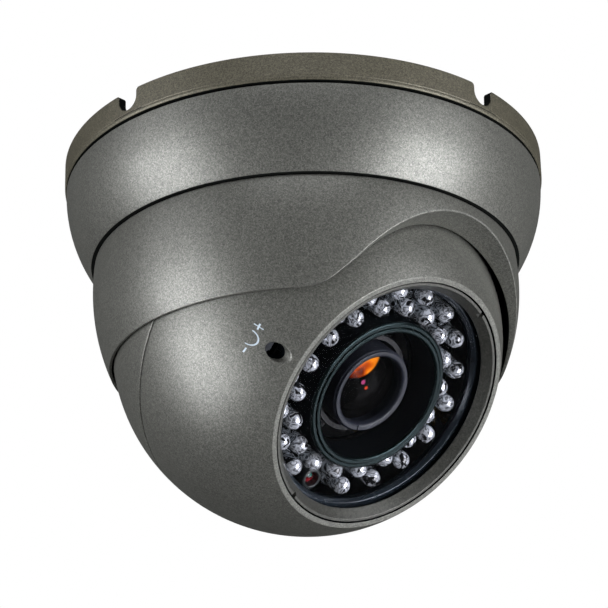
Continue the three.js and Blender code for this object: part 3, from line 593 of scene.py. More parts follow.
def build_trim():
    top, end = trim.high, trim.low
    centre = (trim.outer - TRIM_CURVE, top)
    curve = arc(
        centre,
        TRIM_CURVE,
        angle_at(TRIM_CURVE, top, top - TRIM_EDGE),
        angle_at(TRIM_CURVE, top, end + TRIM_EDGE),
        28,
    )
    outline = rounded(
        [
            (trim.outer - TRIM_EDGE, top),
            *curve,
            (curve[-1][0] - TRIM_EDGE, end),
            (TRIM_INNER, end, 0.3),
            (TRIM_INNER, TRIM_LEDGE, 0.2),
            (TRIM_BORE, TRIM_LEDGE, 0.2),
            (TRIM_BORE, COLLAR_END - GAP),
            (COLLAR_OUTER + GAP, COLLAR_END - GAP),
            (COLLAR_OUTER + GAP, top, 0.3),
        ]
    )
    mesh = outward(mesh_from("trim", *turned(outline)))

    # Painted shade: the ring's underside and the faces inside it take the near-black, standing for the shade in
    # the gap over the bowl.
    def is_dark(x, y, z):
        return math.hypot(math.hypot(x, y) - centre[0], z - top) < TRIM_CURVE - TRIM_EDGE - 0.15

    marks = [int(is_dark(*face.center)) for face in mesh.polygons]
    materials = [paint_shell, painted_gap_shade]
    add_piece("trim_ring_cover", mesh, BASE, "base", "gunmetal", materials, ["trim_ring"], marks=marks)


# ---------------------------------------------------------------- swivel bowl

BOWL_RADIUS = 59.75
SHOULDER_GAP = 0.25
BOWL_SHOULDER = trim.low - SHOULDER_GAP
SHOULDER_ROUND = 0.35
ARCH_EDGE = 0.4
EDGE_SHARE = 0.07  # how much of the reveal wall each of its rounded edges takes
BOWL_CENTRE = -39.0
BOWL_RIM = bowl.low
BOWL_NECK = 57.5
BOWL_FLANGE = bowl.outer
BOWL_TOP = bowl.high
BOWL_SHELF = -33.0
BOWL_BORE = 54.2
BALL_RADIUS = 54.4
BOWL_CLEARANCE = 0.6
BOWL_INNER = BALL_RADIUS + BOWL_CLEARANCE
SIDE_CLEARANCE = 1.4  # what the gap to the ball gains halfway up the arch's sides
ARCH_RADIUS = 40.0
ARCH_TOP = -35.4
ARCH_SPREAD = 54.3
ARCH_FILLET = 7.0
COLUMN_WIDTH = 1.1
BOWL_ROWS = 22


def arch_half():
    """The arch's outline from its crown to where it flares into the rim, as evenly spaced (x, z)."""
    centre = ARCH_TOP - ARCH_RADIUS
    crown = arc((0, centre), ARCH_RADIUS, 90, 90 - ARCH_SPREAD, 60)
    foot = crown[-1]
    run = (foot[1] - BOWL_RIM) / math.tan(math.radians(ARCH_SPREAD))
    start = foot[0] + run + ARCH_FILLET * math.tan(math.radians(ARCH_SPREAD / 2))
    flare = arc((start, BOWL_RIM + ARCH_FILLET), ARCH_FILLET, 270 - ARCH_SPREAD, 270, 24)
    return resampled(crown + flare, COLUMN_WIDTH)


def resampled(points, spacing):
    """The same open path with points about this far apart."""
    lengths = [0.0]
    for a, b in zip(points, points[1:]):
        lengths.append(lengths[-1] + math.dist(a, b))
    count = max(2, round(lengths[-1] / spacing))
    result, k = [], 0
    for i in range(count + 1):
        target = lengths[-1] * i / count
        while k < len(lengths) - 2 and lengths[k + 1] < target:
            k += 1
        t = (target - lengths[k]) / (lengths[k + 1] - lengths[k])
        a, b = points[k], points[k + 1]
        result.append(tuple(p + (q - p) * t for p, q in zip(a, b)))
    return result


def bowl_radius(z):
    return math.sqrt(BOWL_RADIUS**2 - (z - BOWL_CENTRE) ** 2)


def bowl_columns():
    """(azimuth, height) of the bowl's lower edge, once round from the arch's crown."""
    side = [(math.asin(x / bowl_radius(z)), z) for x, z in arch_half()]
    foot = side[-1][0]
    count = round((math.pi - foot) * BOWL_BORE / COLUMN_WIDTH)
    side += [(foot + (math.pi - foot) * i / count, BOWL_RIM) for i in range(1, count + 1)]
    return side + [(-azimuth, z) for azimuth, z in side[-2:0:-1]]


def build_bowl():
    """One grid of columns round the bowl. Each column is a closed loop: outside, edge, inside, neck."""
    reach = 2.2 * SHOULDER_ROUND
    shoulder = rounded(
        [
            (bowl_radius(BOWL_SHOULDER) - reach, BOWL_SHOULDER),
            (bowl_radius(BOWL_SHOULDER), BOWL_SHOULDER, SHOULDER_ROUND),
            (bowl_radius(BOWL_SHOULDER - reach), BOWL_SHOULDER - reach),
        ],
        closed=False,
    )[1:-1]
    side_top = shoulder[-1][1]

    def at(azimuth, radius, z):
        return Vector((radius * math.sin(azimuth), -radius * math.cos(azimuth), z))

    def inner_point(azimuth, radius, z):
        return at(azimuth, lift(z - BALL_CENTRE.z, 0, radius), z)

    vertices, loops = [], []
    for azimuth, edge in bowl_columns():
        column = [at(azimuth, r, z) for r, z in shoulder]
        side_end = edge + ARCH_EDGE
        for i in range(1, BOWL_ROWS):
            z = side_top + (side_end - side_top) * i / BOWL_ROWS
            column.append(at(azimuth, bowl_radius(z), z))
        corner = at(azimuth, bowl_radius(edge), edge)
        height = (edge - BOWL_RIM) / (ARCH_TOP - BOWL_RIM)
        hollow = BOWL_INNER + SIDE_CLEARANCE * math.sin(math.pi * height)
        wall_end = BALL_CENTRE + (corner - BALL_CENTRE).normalized() * hollow
        across = (wall_end - corner) * EDGE_SHARE
        bend = [at(azimuth, bowl_radius(side_end), side_end), corner, corner + across]
        column += soft_corner(bend)
        column += [bend[2].lerp(wall_end, t) for t in (0.33, 0.66)]
        inside = inner_point(azimuth, hollow, wall_end.z + ARCH_EDGE)
        column += soft_corner([wall_end - across, wall_end, inside])
        # Painted shade: from the reveal's inner edge on, round the inside to the neck, the faces take the
        # near-black, standing for the shade in the gap round the ball.
        painted = len(column) - 1
        for i in range(1, BOWL_ROWS + 1):
            t = i / BOWL_ROWS
            radius = hollow + (BOWL_INNER - hollow) * t
            column.append(inner_point(azimuth, radius, inside.z + (BOWL_SHELF - inside.z) * t))
        column += [
            at(azimuth, BOWL_BORE, BOWL_SHELF),
            at(azimuth, BOWL_BORE, BOWL_TOP),
            at(azimuth, BOWL_FLANGE, BOWL_TOP),
            at(azimuth, BOWL_FLANGE, TRIM_LEDGE + GAP),
            at(azimuth, BOWL_NECK, TRIM_LEDGE + GAP),
            at(azimuth, BOWL_NECK, BOWL_SHOULDER),
        ]
        start = len(vertices)
        vertices += [tuple(point) for point in column]
        loops.append(range(start, start + len(column)))
    faces = []
    for a, b in zip(loops, list(loops[1:]) + [loops[0]]):
        for i in range(len(a)):
            n = (i + 1) % len(a)
            faces.append([a[i], b[i], b[n], a[n]])
    mesh = outward(mesh_from("bowl", vertices, faces))
    marks = [int(i >= painted) for i in range(len(column))] * len(loops)
    materials = [paint_shell, painted_gap_shade]
    add_piece("swivel_bowl_cover", mesh, ROW, "swivel", "gunmetal", materials, ["swivel_bowl"], marks=marks)


# ---------------------------------------------------------------- ball

BALL_INNER = 51.4
SEAM = 0.15
SEAM_ROUND = 0.3
RIM_HEIGHT = front.high
RIM_ROUND = 0.2
RIM_BORE = 36.2
SEAT_TOP = 33.3
SEAT_BOTTOM = 31.8
SEAT_BORE = 31.5
CONTROL_OFFSET = 41.5
CONTROL_HOLE = 2.35
CONTROL_ROUND = 0.3
CONTROL_LIGHT = 2.9  # how deep the gunmetal reaches into the control hole on its lens side; below that, and on the far side below the rounded edge, the wall is painted shade
CONTROL_DEPTH = 4.0
BALL_COLUMNS = 288
PATCH_HALF = 5
SHELL_STEP = 1.25  # degrees of latitude between the front shell's rows


def lift(x, y, radius=BALL_RADIUS):
    return math.sqrt(radius**2 - x * x - y * y)


def build_front_shell():
    """A grid over the front half of the ball, with a round-edged control hole on each side."""
    rim_radius = lift(RIM_HEIGHT, 0)
    first = math.degrees(math.asin((SEAM + SEAM_ROUND) / BALL_RADIUS))
    last = math.degrees(math.acos((rim_radius + RIM_ROUND) / BALL_RADIUS))
    steps = round((last - first) / SHELL_STEP)
    outside = arc((0, 0), BALL_RADIUS, first, last, steps)
    seam_edge = [
        (BALL_RADIUS - 0.55, SEAM),
        (BALL_RADIUS - 0.3, SEAM + 0.03),
        (BALL_RADIUS - 0.1, SEAM + 0.12),
    ]
    rim = rounded(
        [
            outside[-1],
            (rim_radius, RIM_HEIGHT, RIM_ROUND),
            (RIM_BORE, RIM_HEIGHT, 0.1),
            (RIM_BORE, SEAT_TOP),
            (SEAT_BORE, SEAT_TOP, 0.2),
            (SEAT_BORE, SEAT_BOTTOM, 0.2),
            (math.sqrt(BALL_INNER**2 - SEAT_BOTTOM**2), SEAT_BOTTOM),
        ],
        closed=False,
    )
    inner_last = angle_at(BALL_INNER, 0, SEAT_BOTTOM)
    inside = arc((0, 0), BALL_INNER, inner_last, angle_at(BALL_INNER, 0, SEAM), 24)
    profile = seam_edge + outside + rim[1:] + inside[1:]
    vertices, faces = turned(profile, BALL_COLUMNS)

    first_row = len(seam_edge)
    rows_on_sphere = [i for i in range(first_row, first_row + len(outside))]
    patch_rows = [i for i in rows_on_sphere if profile[i][0] < CONTROL_OFFSET + CONTROL_HOLE + 2.2]
    removed = set()
    for side in (0, BALL_COLUMNS // 2):
        grid = [
            [row * BALL_COLUMNS + (side + k) % BALL_COLUMNS for k in range(-PATCH_HALF, PATCH_HALF + 1)]
            for row in patch_rows
        ]
        removed |= patch_cells(grid)
        add_hole_patch(vertices, faces, grid, CONTROL_OFFSET if side == 0 else -CONTROL_OFFSET)
    faces = [face for face in faces if frozenset(face) not in removed]
    mesh = outward(mesh_from("front_shell", vertices, faces))
    drill = turned(
        [(0, 20), (CONTROL_HOLE - 0.25, 20), (CONTROL_HOLE - 0.25, 33.5), (0, 33.5)],
        40,
    )
    mesh = carved(mesh, [shifted(drill, x) for x in (-CONTROL_OFFSET, CONTROL_OFFSET)])

    # Black in the window seat. Painted shade deep in each control hole, where the gunmetal wall stands in shade,
    # reaching almost to the mouth on the side away from the lens.
    def is_dark(x, y, z):
        in_seat = math.hypot(x, y) < RIM_BORE + 0.05 and SEAT_BOTTOM - 1 < z < RIM_HEIGHT - 0.8
        in_hole = math.hypot(abs(x) - CONTROL_OFFSET, y) < CONTROL_HOLE
        lit_depth = CONTROL_LIGHT if abs(x) < CONTROL_OFFSET else CONTROL_ROUND
        return in_seat or (in_hole and z < lift(x, y) - lit_depth)

    marks = [int(is_dark(*face.center)) for face in mesh.polygons]
    materials = [paint_shell, seat_black_and_painted_shade]
    nodes = ["ball_front_shell"]
    add_piece("ball_front_cover", mesh, BALL, "ball", "gunmetal", materials, nodes, marks=marks)


def patch_cells(grid):
    """The vertex sets of a grid's cells, whose faces the patch takes the place of."""
    cells = set()
    for lower, upper in zip(grid, grid[1:]):
        for k in range(len(lower) - 1):
            cells.add(frozenset((lower[k], lower[k + 1], upper[k + 1], upper[k])))
    return cells


def add_hole_patch(vertices, faces, grid, centre_x):
    """Rows from a square of the grid in to a round hole with a soft edge, then down its bore."""
    border = grid[0][:-1] + [row[-1] for row in grid[:-1]]
    border += grid[-1][:0:-1] + [row[0] for row in grid[:0:-1]]
    mouth = CONTROL_HOLE + CONTROL_ROUND
    rings = [border]

    def add_ring(points):
        start = len(vertices)
        vertices.extend(points)
        rings.append(list(range(start, start + len(points))))

    directions = []
    for index in border:
        dx, dy = vertices[index][0] - centre_x, vertices[index][1]
        directions.append((dx, dy, math.hypot(dx, dy)))

    def ring_points(radius, drop):
        """A ring round the hole, this far under the ball's surface."""
        places = [(centre_x + dx / d * radius, dy / d * radius) for dx, dy, d in directions]
        return [(x, y, lift(x, y) - drop) for x, y in places]

    for t in (0.25, 0.5, 0.75, 1.0):
        points = []
        for dx, dy, distance in directions:
            radius = distance + (mouth - distance) * t
            x, y = centre_x + dx / distance * radius, dy / distance * radius
            points.append((x, y, lift(x, y)))
        add_ring(points)
    for step in range(1, ROUND_STEPS + 1):
        turn = math.radians(90 * step / ROUND_STEPS)
        radius = mouth - CONTROL_ROUND * math.sin(turn)
        drop = CONTROL_ROUND * (1 - math.cos(turn))
        add_ring(ring_points(radius, drop))
    for depth in (1.2, 2.1, CONTROL_LIGHT, CONTROL_DEPTH):
        add_ring(ring_points(CONTROL_HOLE, depth))
    for outer, inner in zip(rings, rings[1:]):
        for k in range(len(border)):
            n = (k + 1) % len(border)
            faces.append([outer[k], outer[n], inner[n], inner[k]])
    vertices.append((centre_x, 0, lift(centre_x, 0) - CONTROL_DEPTH))
    middle = len(vertices) - 1
    for k in range(len(border)):
        faces.append([rings[-1][k], rings[-1][(k + 1) % len(border)], middle])


HEADROOM = 49.3
LEAST_TILT = 25
BACK_WALL = back.low
BALL_WALL = 3.0
CABLE_HOLE_BACK = 5.0


def headroom_prism(headroom, wall):
    """The side outline that the ball keeps to as it turns under the base, drawn across X."""
    round_end = -math.degrees(math.asin(wall / -headroom))
    far = 2 * BALL_RADIUS
    turn = arc((0, 0), headroom, round_end, -LEAST_TILT, 24)
    tangent = Vector((math.sin(math.radians(LEAST_TILT)), math.cos(math.radians(LEAST_TILT))))
    corner = Vector(turn[-1]) + tangent * far
    outline = [(-far, wall), *turn, tuple(corner), (-far, corner.y)]
    along = columns(Vector((0, 1, 0)), Vector((0, 0, 1)), Vector((1, 0, 0))).to_4x4()
    return placed(prism(outline, -far, far), along)


def build_rear_shell():
    def bowl_half(radius, edge):
        start = math.degrees(math.asin(-(SEAM + edge) / radius))
        return arc((0, 0), radius, start, -90, 60)

    outer_profile = [
        (0, -SEAM),
        (BALL_RADIUS - 0.55, -SEAM),
        (BALL_RADIUS - 0.3, -SEAM - 0.03),
        (BALL_RADIUS - 0.1, -SEAM - 0.12),
        *bowl_half(BALL_RADIUS, SEAM_ROUND)[:-1],
        (0, -BALL_RADIUS),
    ]
    inner_profile = [(0, 1), (BALL_INNER, 1), *bowl_half(BALL_INNER, 0)[:-1], (0, -BALL_INNER)]
    outside = outward(mesh_from("outside", *turned(outer_profile)))
    outside = carved(outside, [headroom_prism(HEADROOM, BACK_WALL)], "INTERSECT")
    inside = outward(mesh_from("inside", *turned(inner_profile, 120)))
    inside = carved(inside, [headroom_prism(HEADROOM - BALL_WALL, BACK_WALL + BALL_WALL)], "INTERSECT")
    hollow = ([tuple(v.co) for v in inside.vertices], [list(p.vertices) for p in inside.polygons])
    start, end = BACK_WALL - 2, -30
    bore = turned([(0, start), (CABLE_HOLE_BACK, start), (CABLE_HOLE_BACK, end), (0, end)], 64)
    mesh = carved(outside, [hollow, bore])
    add_piece("ball_rear_cover", mesh, BALL, "ball", "gunmetal", paint_shell, ["ball_rear_shell"])


# ---------------------------------------------------------------- window

BEZEL_BORE = bezel.inner
SPANNER_ANGLE = 22
SPANNER_WIDTH = 1.4


def from_top(radius, angle):
    """The place at an angle in degrees from +Y, turning towards the zoom side."""
    turn = math.radians(angle)
    return -radius * math.sin(turn), radius * math.cos(turn)


def build_window():
    lip = 0.75
    profile = rounded(
        [
            (bezel.outer, bezel.low, 0.1),
            (bezel.outer, bezel.high, 0.1),
            (bezel.outer - lip, bezel.high, 0.12),
            (BEZEL_BORE, glass.high + 0.55, 0.15),
            (BEZEL_BORE, bezel.low, 0.1),
        ]
    )
    mesh = outward(mesh_from("bezel", *turned(profile)))
    half = SPANNER_WIDTH / 2
    slot = block((-half, half), (bezel.outer - 1.5, bezel.outer + 1), (bezel.high - 1.2, bezel.high + 1))
    slots = [
        placed(slot, Matrix.Rotation(math.radians(turn), 4, "Z"))
        for turn in (-SPANNER_ANGLE, 180 - SPANNER_ANGLE)
    ]
    mesh = carved(mesh, slots)
    add_piece("bezel_ring_cover", mesh, BALL, "ball", "gunmetal", paint_bezel, ["bezel_ring"], bevel=0.08)

    edge = 0.5
    profile = rounded(
        [(0, glass.low), (glass.outer, glass.low, 0.3), (glass.outer, glass.high, edge), (0, glass.high)],
        closed=False,
    )
    mesh = outward(mesh_from("pane", *turned(profile)))
    add_piece("window_pane", mesh, BALL, "ball", "glass", pane, ["window_glass"])

    profile = rounded(
        [
            (SEAT_BORE + 0.1, SEAT_TOP + 0.1, 0.2),
            (glass.outer, SEAT_TOP + 0.1),
            (glass.outer, glass.low - 0.05, 0.2),
            (SEAT_BORE + 0.8, glass.low - 0.05, 0.3),
        ]
    )
    mesh = outward(mesh_from("gasket", *turned(profile)))
    add_piece("window_gasket_ring", mesh, BALL, "ball", "rubber", gasket_rubber, ["window_gasket"])


def build_shroud():
    """A rubber ring with a rounded outer shoulder and a slightly higher rounded inner lip."""
    inner, outer, low, high = shroud.inner, shroud.outer, shroud.low, shroud.high
    middle = inner * 0.45 + outer * 0.55
    profile = rounded(
        [
            (inner, low),
            (outer, low),
            (outer, high - 0.3, 1.2),
            (middle, high - 0.3, 0.5),
            (middle - 0.1, high - 0.6),
            (middle - 0.2, high, 0.4),
            (inner, high, 1.2),
        ]
    )
    mesh = outward(mesh_from("shroud", *turned(profile)))
    # Painted shade: below its top the ring's body takes the black, standing for the shade round and inside the
    # ring.
    marks = [int(face.center.z < high - 2) for face in mesh.polygons]
    materials = [shroud_rubber, seat_black_and_painted_shade]
    add_piece("light_shroud_ring", mesh, BALL, "ball", "rubber", materials, ["light_shroud"], marks=marks)


# ---------------------------------------------------------------- lamps

BOARD_BACK = board.low
BOARD_FRONT = BOARD_BACK + 1.6
LAMP_TIP = board.high
LAMP_RADIUS = 2.5
LAMPS_PER_RING = 18
INNER_CIRCLE = 24.8
OUTER_CIRCLE = 29.4
SENSOR_RADIUS = 3.2
SENSOR_BORE = 2.1
BOARD_OUTER = board.outer
BOARD_BORE = board.inner


def lamp_body():
    """A clear 5 mm lamp: flange, straight body and half-round dome."""
    shoulder = LAMP_TIP - LAMP_RADIUS
    dome = arc((0, shoulder), LAMP_RADIUS, 0, 90, 8)[:-1]
    flange = LAMP_RADIUS + 0.3
    profile = [
        (0, BOARD_FRONT + 0.2),
        (flange, BOARD_FRONT + 0.2),
        (flange, BOARD_FRONT + 1.0),
        (LAMP_RADIUS, BOARD_FRONT + 1.2),
        *dome,
        (0, LAMP_TIP),
    ]
    return turned(profile, 24)


def lamp_frame():
    """The two leads inside a lamp, the wider one ending in the cup that holds the chip."""
    rise = LAMP_TIP - LAMP_RADIUS
    cup = turned(
        [
            (0, rise - 1.6),
            (0.45, rise - 1.9),
            (1.15, rise - 0.6),
            (1.3, rise - 0.6),
            (1.3, rise - 2.2),
            (0, rise - 2.2),
        ],
        16,
    )
    anvil = block((-1.3, 0.25), (-0.25, 0.25), (BOARD_FRONT + 0.6, rise - 2.1))
    post = block((0.6, 1.55), (-0.25, 0.25), (BOARD_FRONT + 0.6, rise - 1.2))
    return merged([cup, anvil, post])


def lamp_spots():
    """Two staggered rings; the light sensor has the lowest place of the outer one."""
    step = 360 / LAMPS_PER_RING
    inner = [(INNER_CIRCLE, step / 2 + step * k) for k in range(LAMPS_PER_RING)]
    outer = [(OUTER_CIRCLE, step * k) for k in range(LAMPS_PER_RING) if step * k != 180]
    return inner + outer


def build_lamps():
    profile = rounded(
        [
            (BOARD_BORE, BOARD_BACK, 0.1),
            (BOARD_OUTER, BOARD_BACK, 0.1),
            (BOARD_OUTER, BOARD_FRONT, 0.1),
            (BOARD_BORE, BOARD_FRONT, 0.1),
        ]
    )
    mesh = outward(mesh_from("board", *turned(profile)))
    add_piece("lamp_board_disc", mesh, BALL, "ball", "lamp_board", board_black, ["lamp_board"])
    spots = lamp_spots()
    bodies, frames = [], []
    for number, (radius, angle) in enumerate(spots):
        x, y = from_top(radius, angle)
        bodies.append(shifted(lamp_body(), x, y))
        spin = Matrix.Rotation(math.radians(angle + 37 * number), 4, "Z")
        frames.append(shifted(placed(lamp_frame(), spin), x, y))
    mesh = outward(mesh_from("lamps", *merged(bodies)))
    marks = [int(face.center.z < LAMP_TIP - LAMP_RADIUS - 0.3) for face in mesh.polygons]
    materials = [lamp_dome, lamp_neck]
    add_piece("lamp_bodies", mesh, BALL, "ball", "glass", materials, marks=marks, weighted=False)
    mesh = outward(mesh_from("frames", *merged(frames)))
    add_piece("lamp_leads", mesh, BALL, "ball", "steel", lead_frame, weighted=False)


def build_light_sensor():
    """A rubber tube with a small coated eye sunk in it."""
    x, y = from_top(OUTER_CIRCLE, 180)
    low, top = light_sensor.low, light_sensor.high
    tube = rounded(
        [
            (SENSOR_BORE, low),
            (SENSOR_RADIUS, low),
            (SENSOR_RADIUS, top, 0.6),
            (SENSOR_BORE, top, 0.4),
        ]
    )
    mesh = outward(mesh_from("sensor", *shifted(turned(tube, 48), x, y)))
    add_piece("light_sensor_sleeve", mesh, BALL, "ball", "black_plastic", sensor_rubber, ["light_sensor"])
    edge = SENSOR_BORE - 0.12
    dome_top = top - 1.2
    sphere = edge * math.sqrt(2)
    eye = [(0, low), (edge, low)]
    eye += arc((0, dome_top - sphere), sphere, 45, 90, 8)[:-1] + [(0, dome_top)]
    mesh = outward(mesh_from("eye", *shifted(turned(eye, 48), x, y)))
    add_piece("light_sensor_eye", mesh, BALL, "ball", "lens_glass", sensor_painted_glints())


def sensor_painted_glints():
    """A dark eye with painted glints that turn from teal to red across it, standing for reflections off its
    coating.
    """
    s = Shader("sensor_painted_glints", roughness=0.06, coat_weight=1.0, coat_roughness=0.03)
    painted_glints = s.ramp(
        s.noise(2.2, detail=1),
        (0.40, (0.01, 0.16, 0.12)),
        (0.52, (0.004, 0.006, 0.008)),
        (0.62, (0.20, 0.01, 0.015)),
    )
    s.base(painted_glints)
    return s.material


# ---------------------------------------------------------------- lens

BARREL_OUTER = 14.5
BARREL_INNER = 13.2
BARREL_FRONT = barrel.high
CELL_OUTER = cell.outer
CELL_INNER = 10.2
CELL_FRONT = cell.high
INDEX_ANGLE = 193
ELEMENT_EDGE = 26.4
ELEMENT_TOP = 28.9


def build_lens():
    profile = rounded(
        [
            (BARREL_INNER, 18),
            (BARREL_OUTER, 18),
            (BARREL_OUTER, BARREL_FRONT, 0.35),
            (BARREL_INNER + 0.3, BARREL_FRONT, 0.25),
            (BARREL_INNER, BARREL_FRONT - 0.8, 0.2),
        ]
    )
    mesh = outward(mesh_from("sleeve", *turned(profile)))
    add_piece("lens_barrel_sleeve", mesh, BALL, "ball", "black_plastic", barrel_black)

    profile = rounded(
        [
            (CELL_OUTER - 2, 15),
            (CELL_OUTER, 15),
            (CELL_OUTER, CELL_FRONT - 0.9, 0.2),
            (CELL_OUTER - 0.35, CELL_FRONT - 0.6, 0.2),
            (CELL_OUTER - 0.35, CELL_FRONT, 0.35),
            (CELL_INNER + 0.35, CELL_FRONT - 0.15, 0.3),
            (CELL_INNER, CELL_FRONT - 0.6, 0.3),
            (CELL_INNER - 0.2, CELL_FRONT - 2),
            (CELL_OUTER - 1.2, CELL_FRONT - 2),
            (CELL_OUTER - 1.2, 19),
            (CELL_OUTER - 2, 19),
        ]
    )
    mesh = outward(mesh_from("cell", *turned(profile)))
    across = (CELL_INNER + 0.3, CELL_OUTER + 0.5)
    index_mark = block((-0.22, 0.22), across, (CELL_FRONT - 0.55, CELL_FRONT + 1))
    mark = placed(index_mark, Matrix.Rotation(math.radians(INDEX_ANGLE), 4, "Z"))
    mesh = carved(mesh, [mark])
    ring = ("focus_group", "black_plastic", lens_black, ["focus_cell"])
    add_piece("focus_cell_ring", mesh, BALL, *ring, bevel=0.05)

    radius = CELL_OUTER - 1.6
    dome = rounded([(0, 21), (radius, 22.5, 0.2), (radius, ELEMENT_EDGE, 0.2)], closed=False)
    height = ELEMENT_TOP - ELEMENT_EDGE
    sphere = (radius**2 + height**2) / (2 * height)
    half_angle = math.degrees(math.asin(radius / sphere))
    crown = arc((0, ELEMENT_TOP - sphere), sphere, 90 - half_angle, 90, 14)[1:-1]
    mesh = outward(mesh_from("element", *turned(dome + crown + [(0, ELEMENT_TOP)])))
    coated = painted_lens_glints()
    add_piece("front_element_glass", mesh, BALL, "focus_group", "lens_glass", coated, ["front_element"])


def painted_lens_glints():
    """Front element: near black, with painted glints in amber, magenta and red standing for reflections off the
    coating of its inner faces, and a faint painted glow.
    """
    s = Shader("painted_lens_glints", roughness=0.1, specular_ior_level=0.03)
    place = in_ball_frame(s)
    wedge = s.mixed(
        1.0,
        disc(s, place, (-3.2, 2.6), 7.0, 0.35),
        disc(s, place, (-9.5, 9.2), 9.2, 0.5),
        "MULTIPLY",
    )
    amber = s.ramp(
        s.noise(5, detail=1),
        (0.36, (0.10, 0.008, 0.001)),
        (0.48, (0.48, 0.06, 0.002)),
        (0.62, (0.85, 0.24, 0.010)),
    )
    tone = s.mixed(wedge, (0.0015, 0.0015, 0.0015), amber)
    tone = s.mixed(disc(s, place, (-2.2, 0.9), 0.6, 0.3), tone, (0.40, 0.05, 0.16))
    tone = s.mixed(disc(s, place, (-0.2, -0.2), 0.5, 0.3), tone, (0.55, 0.05, 0.01))
    s.base(tone)
    # Painted glow: the glints are also given a faint emission.
    s.link(tone, s.bsdf.inputs["Emission Color"])
    s.set(emission_strength=0.12)
    return s.material


def in_ball_frame(s):
    """Millimetres in the ball's frame, for a pattern drawn on one piece."""
    node = s.tree.nodes.new("ShaderNodeMapping")
    node.vector_type = "POINT"
    back_again = BALL.inverted()
    location, rotation, scale = back_again.decompose()
    node.inputs["Location"].default_value = location
    node.inputs["Rotation"].default_value = rotation.to_euler()
    node.inputs["Scale"].default_value = scale
    s.link(s.place, node.inputs["Vector"])
    return node.outputs["Vector"]


def disc(s, place, centre, radius, blur):
    """1 inside a circle drawn on the ball frame's XY plane, 0 outside, soft over blur millimetres."""
    flat = s.tree.nodes.new("ShaderNodeVectorMath")
    flat.operation = "MULTIPLY"
    flat.inputs[1].default_value = (1, 1, 0)
    s.link(place, flat.inputs[0])
    away = s.tree.nodes.new("ShaderNodeVectorMath")
    away.operation = "DISTANCE"
    away.inputs[1].default_value = (*centre, 0)
    s.link(flat.outputs["Vector"], away.inputs[0])
    edge = s.tree.nodes.new("ShaderNodeMapRange")
    edge.inputs["From Min"].default_value = radius - blur / 2
    edge.inputs["From Max"].default_value = radius + blur / 2
    edge.inputs["To Min"].default_value = 1
    edge.inputs["To Max"].default_value = 0
    s.link(away.outputs["Value"], edge.inputs["Value"])
    return edge.outputs["Result"]


# ---------------------------------------------------------------- control legend

LEGEND_X = -46.2
LEGEND_UNDERSIDE = 0.004
LEGEND_HEIGHT = 0.02
LEGEND_WIDTH = 0.26


def stroke(points, width):
    """A flat line of this width through (along, across) points, as quads on the ball's surface."""
    vertices, faces = [], []
    for i, here in enumerate(points):
        before, after = points[max(i - 1, 0)], points[min(i + 1, len(points) - 1)]
        run = (Vector(after) - Vector(before)).normalized()
        normal = Vector((-run.y, run.x)) * width / 2
        for sign in (-1, 1):
            along, across = Vector(here) + normal * sign
            x, y = LEGEND_X + across, along
            for rise in (LEGEND_UNDERSIDE, LEGEND_HEIGHT):
                vertices.append((x, y, lift(x, y, BALL_RADIUS + rise)))
    for i in range(len(points) - 1):
        a, b = 4 * i, 4 * i + 4
        for p, q in ((0, 1), (1, 3), (3, 2), (2, 0)):
            faces.append([a + p, a + q, b + q, b + p])
    end = 4 * (len(points) - 1)
    faces += [[0, 2, 3, 1], [end, end + 1, end + 3, end + 2]]
    return vertices, faces


def straight(start, end, steps=6):
    return [tuple(Vector(start).lerp(Vector(end), i / steps)) for i in range(steps + 1)]


def build_legend():
    """A minus, a turning arc and a plus beside the zoom control, in place of lettering."""
    turns = [math.pi * i / 20 for i in range(21)]
    sweep = [(-math.cos(a) * 1.9 - 0.5, math.sin(a) * 1.5 - 0.55) for a in turns]
    strokes = [
        straight((-4.7, 0), (-3.3, 0)),
        straight((2.3, 0), (3.9, 0)),
        straight((3.1, -0.8), (3.1, 0.8)),
        sweep,
    ]
    mesh = outward(mesh_from("legend", *merged([stroke(points, LEGEND_WIDTH) for points in strokes])))
    add_piece("zoom_legend", mesh, BALL, "ball", "nylon", legend_white, weighted=False)


# ---------------------------------------------------------------- studio

VIEW_AZIMUTH = -49.8
VIEW_ELEVATION = -24.6
VIEW_DISTANCE = 0.7365
VIEW_ROLL = -1.40
VIEW_ACROSS = -0.00065
VIEW_HEIGHT = -0.042
LENS = 155.4
FLOOR_DEPTH = -2.4
FLOOR_GLOW = (0.96, 0.96, 0.96)
FLOOR_STRENGTH = 0.7


def view_axes(azimuth, elevation):
    """(right, up, forward) of a view at these angles in degrees."""
    a, e = math.radians(azimuth), math.radians(elevation)
    right = Vector((math.cos(a), math.sin(a), 0))
    forward = Vector((-math.sin(a) * math.cos(e), math.cos(a) * math.cos(e), -math.sin(e)))
    return right, right.cross(forward), forward


def build_camera():
    right, up, forward = view_axes(VIEW_AZIMUTH, VIEW_ELEVATION)
    roll = math.radians(VIEW_ROLL)
    rolled_right = right * math.cos(roll) + up * math.sin(roll)
    rolled_up = up * math.cos(roll) - right * math.sin(roll)
    target = right * VIEW_ACROSS + Vector((0, 0, VIEW_HEIGHT))
    camera = bpy.data.objects.new("camera", bpy.data.cameras.new("camera"))
    camera.data.lens = LENS
    camera.data.clip_start = 0.01
    camera.matrix_world = columns(rolled_right, rolled_up, -forward).to_4x4()
    camera.location = target - forward * VIEW_DISTANCE
    bpy.context.scene.collection.objects.link(camera)
    bpy.context.scene.camera = camera


LIGHT_COLOUR = (0.975, 0.978, 1.055)


